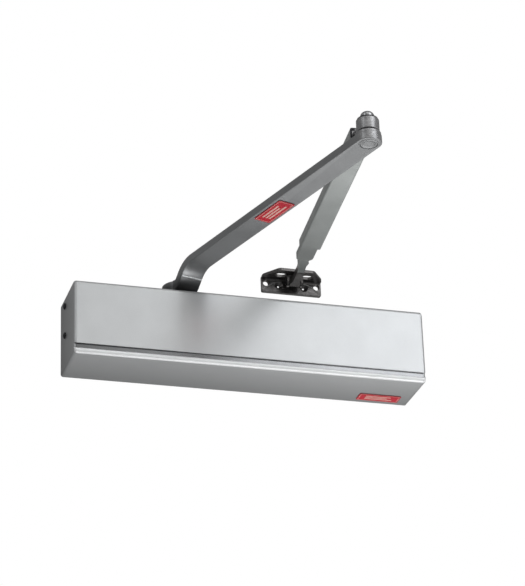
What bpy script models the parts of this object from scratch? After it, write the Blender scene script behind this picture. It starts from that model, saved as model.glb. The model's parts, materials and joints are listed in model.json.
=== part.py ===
"""Surface-mounted hydraulic door closer with a full cover and a regular (double-lever) arm.

Frame: +X runs along the closer, +Y points into the door, +Z is up. The origin is the centre
of the body's mounting face, which lies on the door (the plane y = 0). The door is closed.
All sizes below are written in millimetres and turned into metres by MM.
"""
import math

import bmesh
import bpy
from mathutils import Vector

MM = 0.001
GAP = 0.3                     # clearance kept between two pieces that touch
PAST = 1.0                    # how far a cutter runs past the face that it cuts

# Cover
COVER_LENGTH = 311.0          # 12 1/4 in
COVER_DEPTH = 54.0
COVER_HEIGHT = 67.0           # 2 5/8 in
COVER_WALL = 2.0
END_PLATE = 2.5
GROOVE_TOP = -25.8            # dark recess line near the bottom of the front
GROOVE_BOTTOM = -30.2
GROOVE_DEPTH = 1.5
LIP_RADIUS = 3.0
EDGE_RADIUS = 1.6
GROOVE_SLOPE = 0.6            # the groove's upper wall leans by this much
GROOVE_WALL = 2.2             # from the front to the shell's inner face, behind the groove
SPINDLE_NOTCH_RADIUS = 16.0

# Body casting and its bore, which runs along X at the middle of the cover's depth
BORE_Y = -27.0
BORE_RADIUS = 18.0
BARREL_RADIUS = 23.0
BARREL_HALF = 132.0
FOOT_END = 151.0
FOOT_LENGTH = 23.0
FOOT_DEPTH = 24.0
FOOT_HEIGHT = 29.0
SPINE_DEPTH = 14.0
SPINE_HALF = 13.0
MOUNT_HOLE_X = 139.0
MOUNT_HOLE_Z = 21.5
MOUNT_HOLE_RADIUS = 3.4
COVER_SCREW_Y = -18.0
COVER_SCREW_Z = (24.5, -3.0)
COVER_SCREW_RADIUS = 1.8
COVER_SCREW_CLEARANCE = 0.4
COVER_SCREW_LENGTH = 12.0
COVER_SCREW_HEAD_RADIUS = 3.4
COVER_SCREW_HEAD_HEIGHT = 1.7
COVER_THREAD_DEPTH = 8.0
VALVE_BOSS_RADIUS = 6.5
VALVE_BOSS_LENGTH = 40.0
VALVE_BORE_RADIUS = 4.0
VALVE_BORE_DEPTH = 26.0
VALVE_Y = -44.0
VALVE_Z = 19.5
VALVE_RADIUS = 3.6
VALVE_STEM_RADIUS = 2.4
VALVE_GROOVE_RADIUS = 2.6
VALVE_SEAL_AT = 6.0           # distances of the valve's features from the end of the casting
VALVE_STEM_AT = 10.0
VALVE_TAPER_AT = 20.0
VALVE_TIP_AT = 24.0
VALVE_TIP_RADIUS = 0.6
VALVE_SLOT_DEPTH = 1.4
VALVE_SLOT_HALF = 0.5
VALVE_SEAL = {"mean": 3.2, "thick": 0.32}
# name, end of the casting that it enters from, height
VALVES = (("sweep", -1, VALVE_Z), ("latch", -1, -VALVE_Z), ("backcheck", 1, -VALVE_Z))
PLUG_DEPTH = 18.0             # how far a plug goes into the bore, and how far it stands out
PLUG_STANDOUT = 4.0
PLUG_GROOVE_RADIUS = 15.2
PLUG_SEAL_AT = 6.25
PLUG_SEAL = {"mean": 16.7, "thick": 1.0}
PLUG_GROOVE_HALF = 1.75
PLUG_SOCKET_RADIUS = 6.0
PLUG_SCREW_WAY = 4.4
PLUG_SOCKET_DEPTH = 3.5

# Spindle, rack and pinion
SPINDLE_X = -58.0
SPINDLE_Y = BORE_Y
PINION_BORE_RADIUS = 12.0
PINION_BOSS_RADIUS = 17.0
PINION_BOSS_HALF = 30.0
JOURNAL_RADIUS = 7.2
SHAFT_BOTTOM = -26.0
SHAFT_SHOULDER = 0.6           # the round part stops this far under the hub
SQUARE = 10.0
SQUARE_BOTTOM = 20.0
SQUARE_SHORT = 1.2             # the square stops this far under the hub's top
HUB_THREAD_RADIUS = 2.6
HUB_THREAD_DEPTH = 16.0
GEAR_TEETH = 12
GEAR_MODULE = 1.5
PRESSURE_ANGLE = math.radians(25.0)
GEAR_HALF = 14.0
GEAR_ADDENDUM = 1.3
RACK_ADDENDUM = 1.2
TOOTH_SHARE = 0.42            # tooth thickness as a share of the pitch; the rest is the space
CHECK_BALL_RADIUS = 2.9
CHECK_BALL_AT = 5.2           # distances from the piston's left end
CHECK_SEAT_SPAN = (8.5, 9.5)
CHECK_WELL_RADIUS = 3.6
CHECK_PORT_RADIUS = 2.0
RETAINER_SPAN = (0.2, 1.4)
RETAINER_INNER = 1.6
ROOT_GAP = 0.35               # left between a tooth's tip and the root that it runs in
WINDOW_BACK = 2.6             # how far the piston's window clears the pinion behind it
PISTON_RADIUS = BORE_RADIUS - GAP
PISTON_LEFT = -111.0
PISTON_RIGHT = -34.0
SLOT_LEFT = -99.0
SLOT_RIGHT = -46.0
THRUST_WASHER_SPAN = (16.4, 17.6)       # heights above and below the bore's centre line
NEEDLE_BEARING_SPAN = (18.2, 25.8)
THRUST_WASHER_RADIUS = 10.2
CAP_INNER_END = 26.1
CAP_RIM_RADIUS = 14.6
CAP_RIM_AT = 30.2
UPPER_CAP_TOP = 34.6
SEAL_SPAN = (29.3, 34.0)
SEAL_RADIUS = 10.6

# Springs and the screw that sets their preload
SEAT_FACE = 103.0
SEAT_THICKNESS = 5.0
OUTER_SPRING = {"mean": 14.6, "wire": 2.4, "turns": 8, "hand": 1, "steps": 11, "sides": 6}
INNER_SPRING = {"mean": 8.6, "wire": 1.5, "turns": 11, "hand": -1, "steps": 9, "sides": 5}
POWER_SCREW_RADIUS = 4.0
POWER_SCREW_TIP = 92.0
POWER_SCREW_HEAD_RADIUS = 7.0
POWER_SCREW_HEAD_END = BARREL_HALF + 10.0
POWER_SCREW_SOCKET = 3.2
POWER_SCREW_SOCKET_DEPTH = 4.5
POWER_SCREW_POINT = 1.5

# Arm: two levers and the shoe that is screwed to the door frame
MAIN_LENGTH = 283.0           # spindle to elbow, about 11 1/8 in
FORE_LENGTH = 286.0           # elbow to shoe swivel, about 11 1/4 in
SHOE_X = 52.5
SHOE_Y = -12.0
ARM_WIDTH = 21.2
ARM_THICKNESS = 7.0
HUB_BOTTOM = 38.5
HUB_TOP = 48.0
HUB_RADIUS = 14.0
BAR_BOTTOM = 55.0
BEND_START = 9.0
BEND_ANGLE = math.radians(48.0)
BEND_LOW_RADIUS = 9.0
BEND_HIGH_RADIUS = 24.0
ELBOW_BOSS_TOP = 64.2
KNUCKLE_BOTTOM = 65.5
KNUCKLE_TOP = 76.0
KNUCKLE_RADIUS = 9.2
RIVET_HEAD_RADIUS = 6.6
RIVET_RADIUS = 4.0
RIVET_HEAD_THICKNESS = 2.2
ELBOW_BOSS_RADIUS = 10.2
ELBOW_EYE_RADIUS = 5.4
BUSH_RADIUS = 5.1
CAP_NUT_RADIUS = 5.6
CAP_NUT_TOP = 84.2
HUB_SCREW_RADIUS = 2.3
HUB_SCREW_LENGTH = 15.0
HUB_SCREW_HEAD_RADIUS = 5.2
HUB_WASHER_RADIUS = 8.6
HUB_WASHER_HOLE = 2.9
HUB_WASHER_THICKNESS = 1.4
HUB_SCREW_HEAD_TOP = 5.6       # heights over the hub's top
HUB_SOCKET_FLOOR = 3.0
HUB_SOCKET_RADIUS = 2.6
LOWER_WASHER_RADIUS = 8.2
UPPER_WASHER_RADIUS = 8.4
UPPER_WASHER_THICKNESS = 0.8
RIVET_STANDOUT = 3.8           # over the knuckle, inside the cap nut
CAP_NUT_SKIRT = 2.4
CAP_NUT_WELL = 2.8
SHANK_END = 46.0
NECK_HALF = 5.0
NECK_START = 5.0               # inside the eye's wall, outside its hole
CLAMP_SLOT_HALF = 3.2
CLAMP_SCREW_RADIUS = 2.6
CLAMP_HEAD_RADIUS = 4.9
CLAMP_HEAD_TOP = 1.7           # over the tube
CLAMP_DRIVE_FLOOR = 1.0
CLAMP_DRIVE_HALF = 0.5
TUBE_CORNER_RADIUS = 1.3
TUBE_BOTTOM = 70.5
TUBE_HEIGHT = 9.8
TUBE_WIDTH = 18.8
TUBE_WALL = 1.7
TUBE_START = 20.0
TUBE_END = 218.0
BAR_INNER_START = 105.0
BAR_SHOULDER = 244.0
CLAMP_X = 170.0
SLIDE_IN = 25.0               # how far the adjusting bar goes into the tube from here
SLIDE_OUT = 30.0              # and how far it comes out
BAR_TAPER_START = TUBE_END + SLIDE_IN   # the bar keeps its full height up to here
SHOULDER_RADIUS = 4.0
PIN_HEIGHT = 70.6
TONGUE_HALF = 4.5
TONGUE_EYE = 3.4
TONGUE_START = FORE_LENGTH - 28.0       # where the bar has stepped down to the tongue
EAR_THICKNESS = 2.2
YOKE_HALF = 4.2
YOKE_WEB = 1.8
YOKE_SIDE_GAP = 0.45           # between the tongue and an ear
PIN_RADIUS = 1.7
PIN_HOLE_RADIUS = 2.0
PIN_HEAD_RADIUS = 2.6
PIN_HEAD_THICKNESS = 0.6
SWIVEL_RADIUS = 2.8
SWIVEL_FOOT_RADIUS = 3.4
SWIVEL_HEAD_RADIUS = 4.6
SWIVEL_HEAD_DEPTH = 1.8       # the head is sunk, so the plate can lie flat on a soffit
PLATE_BOTTOM = 77.0
SHOE_PLATE = 2.5
SHOE_WIDTH = 55.0
SHOE_FRONT_WIDTH = 32.0
SHOE_FRONT_Y = -22.0
SHOE_FLANGE = 3.0
SHOE_BOTTOM = 64.0
PLATE_HOLE_X = 12.0
PLATE_HOLE_RADIUS = 3.5
PLATE_SHOULDER = 7.0           # the plate keeps its full width this far out from its back
SHOE_CORNER_RADIUS = 1.2
# name, distance to the side of the pivot, height, radius
FLANGE_HOLES = (("inner_left", -11.6, 70.8, 3.1), ("inner_right", 11.6, 70.8, 3.1),
                ("outer_left", -23.3, 72.6, 2.3), ("outer_right", 23.3, 72.6, 2.3))
LABEL_LENGTH = 38.0
LABEL_WIDTH = 15.4
LABEL_THICKNESS = 0.3
LABEL_CORNER_RADIUS = 1.2
ARM_LABEL_ALONG = 150.5       # from the spindle along the main arm
COVER_LABEL_PLACE = (125.5, -12.3)

for item in list(bpy.data.objects):
    bpy.data.objects.remove(item, do_unlink=True)


# ---------------------------------------------------------------- materials
def material(name, colour, roughness, metallic):
    made = bpy.data.materials.new(name)
    made.use_nodes = True
    shader = made.node_tree.nodes["Principled BSDF"]
    shader.inputs["Base Color"].default_value = (*colour, 1.0)
    shader.inputs["Roughness"].default_value = roughness
    shader.inputs["Metallic"].default_value = metallic
    made.diffuse_color = (*colour, 1.0)
    return made


SILVER = material("silver_paint", (0.56, 0.57, 0.59), 0.38, 0.6)
ARM_PAINT = material("arm_paint", (0.22, 0.225, 0.23), 0.42, 0.6)
CAST = material("cast_iron", (0.20, 0.20, 0.20), 0.65, 0.7)
STEEL = material("plain_steel", (0.50, 0.50, 0.51), 0.32, 1.0)
DARK = material("dark_steel", (0.045, 0.045, 0.05), 0.40, 0.8)
BRASS = material("brass", (0.62, 0.47, 0.22), 0.30, 1.0)
RUBBER = material("seal_rubber", (0.02, 0.02, 0.02), 0.80, 0.0)
SPRING = material("spring_steel", (0.28, 0.28, 0.29), 0.35, 1.0)
RED = material("red_label", (0.55, 0.01, 0.03), 0.40, 0.0)


# ---------------------------------------------------------------- shape tools
def place(bm, name, finish, parent=None, location=(0, 0, 0), turn=None, smooth=True):
    """Turn a bmesh in millimetres into a named object in metres."""
    bmesh.ops.remove_doubles(bm, verts=bm.verts, dist=1e-5)
    bmesh.ops.recalc_face_normals(bm, faces=bm.faces)
    bmesh.ops.scale(bm, vec=(MM, MM, MM), verts=bm.verts)
    mesh = bpy.data.meshes.new(name)
    bm.to_mesh(mesh)
    bm.free()
    if smooth:
        mesh.shade_smooth()
        mesh.set_sharp_from_angle(angle=math.radians(35.0))
    made = bpy.data.objects.new(name, mesh)
    bpy.context.scene.collection.objects.link(made)
    if finish:
        mesh.materials.append(finish)
    made.parent = parent
    made.location = [value * MM for value in location]
    if turn:
        made.rotation_euler = turn
    return made


def hide_tool(tool):
    tool.hide_render = True
    tool.display_type = "WIRE"
    return tool


def boolean(target, tool, operation):
    """Cut a tool out of a piece, or weld it on, and keep the tool as a hidden guide."""
    hide_tool(tool)
    step = target.modifiers.new(tool.name, "BOOLEAN")
    step.operation = operation
    step.solver = "EXACT"
    step.object = tool
    return target


def cut(target, tool):
    return boolean(target, tool, "DIFFERENCE")


def weld(target, tool):
    return boolean(target, tool, "UNION")


AXIS_TURN = {"X": (0.0, math.pi / 2, 0.0), "Y": (-math.pi / 2, 0.0, 0.0), "Z": None}


def turned_mesh(profile, segments, closed):
    """Revolve (radius, height) points about Z. Each axis passes through the middle of a flat."""
    bm = bmesh.new()
    rows = []
    for radius, height in profile:
        if radius == 0.0:
            rows.append([bm.verts.new((0.0, 0.0, height))])
            continue
        row = []
        for step in range(segments):
            angle = 2 * math.pi * (step + 0.5) / segments
            row.append(bm.verts.new((radius * math.cos(angle), radius * math.sin(angle), height)))
        rows.append(row)
    pairs = list(zip(rows, rows[1:]))
    if closed:
        pairs.append((rows[-1], rows[0]))
    for low, high in pairs:
        for step in range(segments):
            after = (step + 1) % segments
            corners = [low[step % len(low)], low[after % len(low)]]
            corners += [high[after % len(high)], high[step % len(high)]]
            unique = list(dict.fromkeys(corners))
            if len(unique) > 2:
                bm.faces.new(unique)
    return bm


def turned(name, profile, finish, location=(0, 0, 0), axis="Z", segments=20, parent=None):
    """A solid of revolution whose profile starts and ends on the axis."""
    bm = turned_mesh([(0.0, profile[0][1]), *profile, (0.0, profile[-1][1])], segments, False)
    return place(bm, name, finish, parent, location, AXIS_TURN[axis])


def ring(name, inner, outer, low, high, finish, location=(0, 0, 0), axis="Z", segments=20,
         parent=None):
    profile = [(inner, low), (outer, low), (outer, high), (inner, high)]
    bm = turned_mesh(profile, segments, True)
    return place(bm, name, finish, parent, location, AXIS_TURN[axis])


def seal_ring(name, mean, thick, height, location):
    """A rubber O-ring about the X axis, with a six-sided section."""
    profile = []
    for step in range(6):
        angle = 2 * math.pi * step / 6
        profile.append((mean + thick * math.cos(angle), height + thick * math.sin(angle)))
    bm = turned_mesh(profile, 16, True)
    return place(bm, name, RUBBER, None, location, AXIS_TURN["X"])


def cylinder(name, radius, low, high, location=(0, 0, 0), axis="Z", segments=24, parent=None,
             finish=None):
    return turned(name, [(radius, low), (radius, high)], finish, location, axis, segments, parent)


def prism(name, outline, low, high, finish=None, plane="XY", parent=None, location=(0, 0, 0),
          smooth=True):
    """Extrude a closed outline. Plane XY goes up Z, YZ goes along X, XZ goes along Y."""
    bm = bmesh.new()
    ends = []
    for level in (low, high):
        row = []
        for a, b in outline:
            point = {"XY": (a, b, level), "YZ": (level, a, b), "XZ": (a, level, b)}[plane]
            row.append(bm.verts.new(point))
        ends.append(row)
    bm.faces.new(ends[0])
    bm.faces.new(ends[1])
    count = len(outline)
    for step in range(count):
        after = (step + 1) % count
        bm.faces.new([ends[0][step], ends[0][after], ends[1][after], ends[1][step]])
    return place(bm, name, finish, parent, location, None, smooth)


def box(name, low, high, finish=None, parent=None, location=(0, 0, 0)):
    outline = [(low[0], low[1]), (high[0], low[1]), (high[0], high[1]), (low[0], high[1])]
    return prism(name, outline, low[2], high[2], finish, "XY", parent, location, False)


def arc(centre, radius, start, end, steps):
    """Points on an arc, angles in degrees."""
    points = []
    for step in range(steps + 1):
        angle = math.radians(start + (end - start) * step / steps)
        points.append((centre[0] + radius * math.cos(angle), centre[1] + radius * math.sin(angle)))
    return points


def round_slot(half_length, half_width, steps=6):
    """A slot with round ends, centred on the origin, along the first axis."""
    right = arc((half_length - half_width, 0), half_width, -90, 90, steps)
    left = arc((half_width - half_length, 0), half_width, 90, 270, steps)
    return right + left


def round_box(low, high, radius, steps=3):
    """A rectangle with rounded corners."""
    points = arc((high[0] - radius, high[1] - radius), radius, 0, 90, steps)
    points += arc((low[0] + radius, high[1] - radius), radius, 90, 180, steps)
    points += arc((low[0] + radius, low[1] + radius), radius, 180, 270, steps)
    points += arc((high[0] - radius, low[1] + radius), radius, 270, 360, steps)
    return points


def empty(name, location, turn=0.0, parent=None):
    made = bpy.data.objects.new(name, None)
    bpy.context.scene.collection.objects.link(made)
    made.parent = parent
    made.location = [value * MM for value in location]
    made.rotation_euler = (0.0, 0.0, turn)
    return made


# ---------------------------------------------------------------- joint frames
# The closed position follows from the two lever lengths and the shoe's place on the frame.
SPAN = math.hypot(SHOE_X - SPINDLE_X, SHOE_Y - SPINDLE_Y)
SPAN_ANGLE = math.atan2(SHOE_Y - SPINDLE_Y, SHOE_X - SPINDLE_X)
SPINDLE_CORNER = math.acos((MAIN_LENGTH**2 + SPAN**2 - FORE_LENGTH**2) / (2 * MAIN_LENGTH * SPAN))
MAIN_ANGLE = SPAN_ANGLE - SPINDLE_CORNER
ELBOW_X = SPINDLE_X + MAIN_LENGTH * math.cos(MAIN_ANGLE)
ELBOW_Y = SPINDLE_Y + MAIN_LENGTH * math.sin(MAIN_ANGLE)
FORE_ANGLE = math.atan2(SHOE_Y - ELBOW_Y, SHOE_X - ELBOW_X)

arm_axis = empty("arm_axis", (SPINDLE_X, SPINDLE_Y, 0.0), MAIN_ANGLE)
elbow_axis = empty("elbow_axis", (MAIN_LENGTH, 0.0, 0.0), FORE_ANGLE - MAIN_ANGLE, arm_axis)
tilt_axis = empty("tilt_axis", (FORE_LENGTH, 0.0, PIN_HEIGHT), 0.0, elbow_axis)
shoe_axis = empty("shoe_axis", (0.0, 0.0, 0.0), -FORE_ANGLE, tilt_axis)
piston_axis = empty("piston_axis", (0.0, BORE_Y, 0.0))


# ---------------------------------------------------------------- cover
HALF_H = COVER_HEIGHT / 2
HALF_L = COVER_LENGTH / 2


def cover_outside():
    """Front of the cover's section in (y, z), from the back at the top to the back below."""
    front = -COVER_DEPTH
    points = [(0.0, HALF_H)]
    points += arc((front + EDGE_RADIUS, HALF_H - EDGE_RADIUS), EDGE_RADIUS, 90, 180, 3)
    points.append((front, GROOVE_TOP))
    points.append((front + GROOVE_DEPTH, GROOVE_TOP - GROOVE_SLOPE))
    points.append((front + GROOVE_DEPTH, GROOVE_BOTTOM))
    points += arc((front + LIP_RADIUS, -HALF_H + LIP_RADIUS), LIP_RADIUS, 175, 270, 5)
    points.append((0.0, -HALF_H))
    return points


def make_cover():
    outside = cover_outside()
    front = -COVER_DEPTH + COVER_WALL
    behind_groove = front + GROOVE_WALL
    inside = [(0.0, -HALF_H + COVER_WALL), (behind_groove, -HALF_H + COVER_WALL)]
    inside += [(behind_groove, GROOVE_TOP), (front, GROOVE_TOP + COVER_WALL)]
    inside += [(front, HALF_H - COVER_WALL), (0.0, HALF_H - COVER_WALL)]
    end = HALF_L - END_PLATE - GAP
    shell = prism("cover_shell", outside + inside, -end, end, SILVER, "YZ")
    reach = SPINDLE_NOTCH_RADIUS
    notch = arc((SPINDLE_X, SPINDLE_Y), reach, 180, 360, 12)
    notch += [(SPINDLE_X + reach, PAST), (SPINDLE_X - reach, PAST)]
    cut(shell, prism("cut_spindle_notch", notch, HALF_H - COVER_WALL - PAST, HALF_H + PAST))
    for side, sign in (("left", -1), ("right", 1)):
        low, high = sorted((sign * HALF_L, sign * (HALF_L - END_PLATE)))
        plate = prism("cover_end_" + side, outside, low, high, SILVER, "YZ")
        for number, height in enumerate(COVER_SCREW_Z):
            name = "cut_%s_plate_%d" % (side, number)
            place_at = (0.0, COVER_SCREW_Y, height)
            radius = COVER_SCREW_RADIUS + COVER_SCREW_CLEARANCE
            cut(plate, cylinder(name, radius, low - PAST, high + PAST, place_at, "X", 10))


def make_cover_screws():
    number = 1
    for sign in (-1, 1):
        for height in COVER_SCREW_Z:
            head = COVER_SCREW_HEAD_RADIUS
            top = HALF_L + COVER_SCREW_HEAD_HEIGHT
            profile = [(COVER_SCREW_RADIUS, HALF_L - COVER_SCREW_LENGTH)]
            profile += [(COVER_SCREW_RADIUS, HALF_L + 0.2), (head, HALF_L + GAP)]
            profile += [(head - 0.4, top - 0.5), (head - 1.6, top)]
            profile = [(radius, sign * along) for radius, along in profile]
            turned("cover_screw_%d" % number, profile, STEEL, (0.0, COVER_SCREW_Y, height), "X", 10)
            number += 1


# ---------------------------------------------------------------- body casting
def make_body():
    bore_place = (0.0, BORE_Y, 0.0)
    spindle_place = (SPINDLE_X, SPINDLE_Y, 0.0)
    body = cylinder("body_casting", BARREL_RADIUS, -BARREL_HALF, BARREL_HALF, bore_place, "X", 32,
                    None, CAST)
    inner = FOOT_END - FOOT_LENGTH
    corner = [(FOOT_END, FOOT_HEIGHT), (inner, FOOT_HEIGHT), (inner, SPINE_HALF)]
    backbone = corner + [(-x, z) for x, z in reversed(corner)] + [(-x, -z) for x, z in corner]
    backbone += [(x, -z) for x, z in reversed(corner)]
    weld(body, prism("weld_backbone", backbone, -SPINE_DEPTH, 0.0, None, "XZ"))
    weld(body, cylinder("weld_boss", PINION_BOSS_RADIUS, -PINION_BOSS_HALF, PINION_BOSS_HALF,
                        spindle_place, "Z", 28))
    for side, sign in (("left", -1), ("right", 1)):
        low, high = sorted((sign * (FOOT_END - 1), sign * (inner + 1)))
        block = (low, -FOOT_DEPTH, -FOOT_HEIGHT + 1), (high, -SPINE_DEPTH + 4, FOOT_HEIGHT - 1)
        weld(body, box("weld_foot_" + side, *block))
    for name, sign, height in VALVES:
        low, high = sorted((sign * (BARREL_HALF - 0.5), sign * (BARREL_HALF - VALVE_BOSS_LENGTH)))
        weld(body, cylinder("weld_boss_" + name, VALVE_BOSS_RADIUS, low, high,
                            (0.0, VALVE_Y, height), "X", 16))
    end = FOOT_END + PAST
    cut(body, cylinder("cut_bore", BORE_RADIUS, -end, end, bore_place, "X", 32))
    end = PINION_BOSS_HALF + PAST
    cut(body, cylinder("cut_pinion", PINION_BORE_RADIUS, -end, end, spindle_place, "Z", 24))
    for name, sign, height in VALVES:
        low, high = sorted((sign * (BARREL_HALF + PAST), sign * (BARREL_HALF - VALVE_BORE_DEPTH)))
        spot = (0.0, VALVE_Y, height)
        cut(body, cylinder("cut_valve_" + name, VALVE_BORE_RADIUS, low, high, spot, "X", 12))
    for side, sign in (("left", -1), ("right", 1)):
        for number, height in enumerate((MOUNT_HOLE_Z, -MOUNT_HOLE_Z)):
            centre = (sign * MOUNT_HOLE_X, 0.0, height)
            name = "cut_mount_%s_%d" % (side, number)
            cut(body, cylinder(name, MOUNT_HOLE_RADIUS, -FOOT_DEPTH - PAST, PAST, centre, "Y", 12))
        low, high = sorted((sign * (FOOT_END + PAST), sign * (FOOT_END - COVER_THREAD_DEPTH)))
        for number, height in enumerate(COVER_SCREW_Z):
            name = "cut_thread_%s_%d" % (side, number)
            cut(body, cylinder(name, COVER_SCREW_RADIUS + GAP, low, high,
                               (0.0, COVER_SCREW_Y, height), "X", 8))


def make_valves():
    for name, sign, height in VALVES:
        end = BARREL_HALF
        seal = end - VALVE_SEAL_AT
        profile = [(VALVE_TIP_RADIUS, end - VALVE_TIP_AT), (VALVE_STEM_RADIUS, end - VALVE_TAPER_AT)]
        profile += [(VALVE_STEM_RADIUS, end - VALVE_STEM_AT), (VALVE_RADIUS, end - VALVE_STEM_AT + 1)]
        profile += [(VALVE_RADIUS, seal - 1.0), (VALVE_GROOVE_RADIUS, seal - 0.8)]
        profile += [(VALVE_GROOVE_RADIUS, seal + 0.8), (VALVE_RADIUS, seal + 1.0)]
        profile += [(VALVE_RADIUS, end - 1.0)]
        profile = [(radius, sign * along) for radius, along in profile]
        spot = (0.0, VALVE_Y, height)
        valve = turned(name + "_valve", profile, BRASS, spot, "X", 12)
        corner = Vector((VALVE_SLOT_DEPTH, VALVE_RADIUS + PAST, VALVE_SLOT_HALF))
        slot = box("cut_slot_" + name, -corner, corner)
        slot.location = [sign * (end - 1.0) * MM, VALVE_Y * MM, height * MM]
        cut(valve, slot)
        seal_ring(name + "_valve_seal", height=sign * seal, location=spot, **VALVE_SEAL)


def make_plugs():
    bore_place = (0.0, BORE_Y, 0.0)
    for side, sign in (("left", -1), ("right", 1)):
        out = BARREL_HALF
        radius = BORE_RADIUS - GAP
        seal = out - PLUG_SEAL_AT
        half = PLUG_GROOVE_HALF
        profile = [(radius, out - PLUG_DEPTH), (radius, seal - half)]
        profile += [(PLUG_GROOVE_RADIUS, seal - half + 0.1), (PLUG_GROOVE_RADIUS, seal + half - 0.1)]
        profile += [(radius, seal + half)]
        profile += [(radius, out + PLUG_STANDOUT)]
        profile = [(size, sign * along) for size, along in profile]
        plug = turned(side + "_end_plug", profile, STEEL, bore_place, "X", 24)
        seal_ring(side + "_plug_seal", height=sign * seal, location=bore_place, **PLUG_SEAL)
        outside = out + PLUG_STANDOUT + PAST
        if side == "left":
            hexagon = arc((0, 0), PLUG_SOCKET_RADIUS, 0, 300, 5)
            floor = out + PLUG_STANDOUT - PLUG_SOCKET_DEPTH
            cut(plug, prism("cut_socket", hexagon, -outside, -floor, None, "YZ", None, bore_place))
        else:
            inside = out - PLUG_DEPTH - PAST
            cut(plug, cylinder("cut_screw_way", PLUG_SCREW_WAY, inside, outside, bore_place, "X", 12))


def make_bearings():
    """Needle bearings, thrust washers, caps and the lip seal, stacked along the spindle."""
    spot = (SPINDLE_X, SPINDLE_Y, 0.0)
    outer = PINION_BORE_RADIUS - GAP
    inner = JOURNAL_RADIUS + GAP
    for side, sign in (("upper", 1), ("lower", -1)):
        washer = sorted(sign * height for height in THRUST_WASHER_SPAN)
        ring(side + "_thrust_washer", inner, THRUST_WASHER_RADIUS, *washer, BRASS, spot)
        bearing = sorted(sign * height for height in NEEDLE_BEARING_SPAN)
        ring(side + "_bearing", inner, outer, *bearing, STEEL, spot)
    well = SEAL_RADIUS + GAP
    floor = SEAL_SPAN[0] - GAP
    profile = [(inner, CAP_INNER_END), (outer, CAP_INNER_END), (outer, CAP_RIM_AT)]
    profile += [(CAP_RIM_RADIUS, CAP_RIM_AT + 0.1), (CAP_RIM_RADIUS, UPPER_CAP_TOP)]
    profile += [(well, UPPER_CAP_TOP), (well, floor), (inner, floor)]
    place(turned_mesh(profile, 20, True), "upper_bearing_cap", STEEL, None, spot)
    ring("spindle_seal", inner, SEAL_RADIUS, *SEAL_SPAN, RUBBER, spot)
    profile = [(outer, -CAP_INNER_END - 0.2), (outer, -CAP_RIM_AT)]
    profile += [(CAP_RIM_RADIUS, -CAP_RIM_AT - 0.1), (CAP_RIM_RADIUS, -CAP_RIM_AT - 0.9)]
    turned("lower_bearing_cap", profile, STEEL, spot)


# ---------------------------------------------------------------- rack and pinion
PITCH_RADIUS = GEAR_MODULE * GEAR_TEETH / 2
PITCH = math.pi * GEAR_MODULE


def involute_half_angle(radius):
    """Half the tooth's angle at a radius, for a tooth TOOTH_SHARE of the pitch thick."""
    base = PITCH_RADIUS * math.cos(PRESSURE_ANGLE)
    at_pitch = math.pi * TOOTH_SHARE / GEAR_TEETH
    if radius < base:
        radius = base
    angle = math.acos(base / radius)
    involute = math.tan(angle) - angle
    involute_pitch = math.tan(PRESSURE_ANGLE) - PRESSURE_ANGLE
    return at_pitch + involute_pitch - involute


def gear_outline():
    """A spur gear with one tooth pointing at the rack, which lies on the -Y side."""
    root = PITCH_RADIUS - RACK_ADDENDUM - ROOT_GAP
    tip = PITCH_RADIUS + GEAR_ADDENDUM
    base = PITCH_RADIUS * math.cos(PRESSURE_ANGLE)
    radii = [root, base, PITCH_RADIUS, (PITCH_RADIUS + tip) / 2, tip]
    points = []
    for tooth in range(GEAR_TEETH):
        middle = -math.pi / 2 + 2 * math.pi * tooth / GEAR_TEETH
        for radius in radii:
            angle = middle - involute_half_angle(radius)
            points.append((radius * math.cos(angle), radius * math.sin(angle)))
        for radius in reversed(radii):
            angle = middle + involute_half_angle(radius)
            points.append((radius * math.cos(angle), radius * math.sin(angle)))
    return points


def rack_slot_outline():
    """The piston's window, with the rack's tooth spaces cut into its front side."""
    face = -PITCH_RADIUS + RACK_ADDENDUM
    depth = -PITCH_RADIUS - GEAR_ADDENDUM - ROOT_GAP
    space = PITCH * (1 - TOOTH_SHARE)
    spread = math.tan(PRESSURE_ANGLE)
    wide = space / 2 + RACK_ADDENDUM * spread
    narrow = space / 2 - (-PITCH_RADIUS - depth) * spread
    back = PITCH_RADIUS + WINDOW_BACK
    points = [(SLOT_LEFT, back), (SLOT_LEFT, face)]
    for tooth in range(-7, 2):
        middle = SPINDLE_X + tooth * PITCH
        points += [(middle - wide, face), (middle - narrow, depth)]
        points += [(middle + narrow, depth), (middle + wide, face)]
    points += [(SLOT_RIGHT, face), (SLOT_RIGHT, back)]
    return points


def make_piston():
    piston = cylinder("piston", PISTON_RADIUS, PISTON_LEFT, PISTON_RIGHT, axis="X", segments=32,
                      parent=piston_axis, finish=STEEL)
    reach = PISTON_RADIUS + PAST
    cut(piston, prism("cut_window", rack_slot_outline(), -reach, reach, parent=piston_axis))
    seat_start, seat_end = CHECK_SEAT_SPAN
    port = [(CHECK_WELL_RADIUS, PISTON_LEFT - PAST), (CHECK_WELL_RADIUS, PISTON_LEFT + seat_start)]
    port += [(CHECK_PORT_RADIUS, PISTON_LEFT + seat_end), (CHECK_PORT_RADIUS, SLOT_LEFT + PAST)]
    cut(piston, turned("cut_port", port, None, axis="X", segments=12, parent=piston_axis))
    half_circle = arc((PISTON_LEFT + CHECK_BALL_AT, 0.0), CHECK_BALL_RADIUS, 157.5, 22.5, 6)
    ball = [(radius, along) for along, radius in half_circle]
    turned("check_ball", ball, STEEL, axis="X", segments=12, parent=piston_axis)
    low, high = (PISTON_LEFT + depth for depth in RETAINER_SPAN)
    ring("check_ball_retainer", RETAINER_INNER, CHECK_WELL_RADIUS - GAP, low, high, BRASS, axis="X",
         segments=16, parent=piston_axis)


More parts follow.
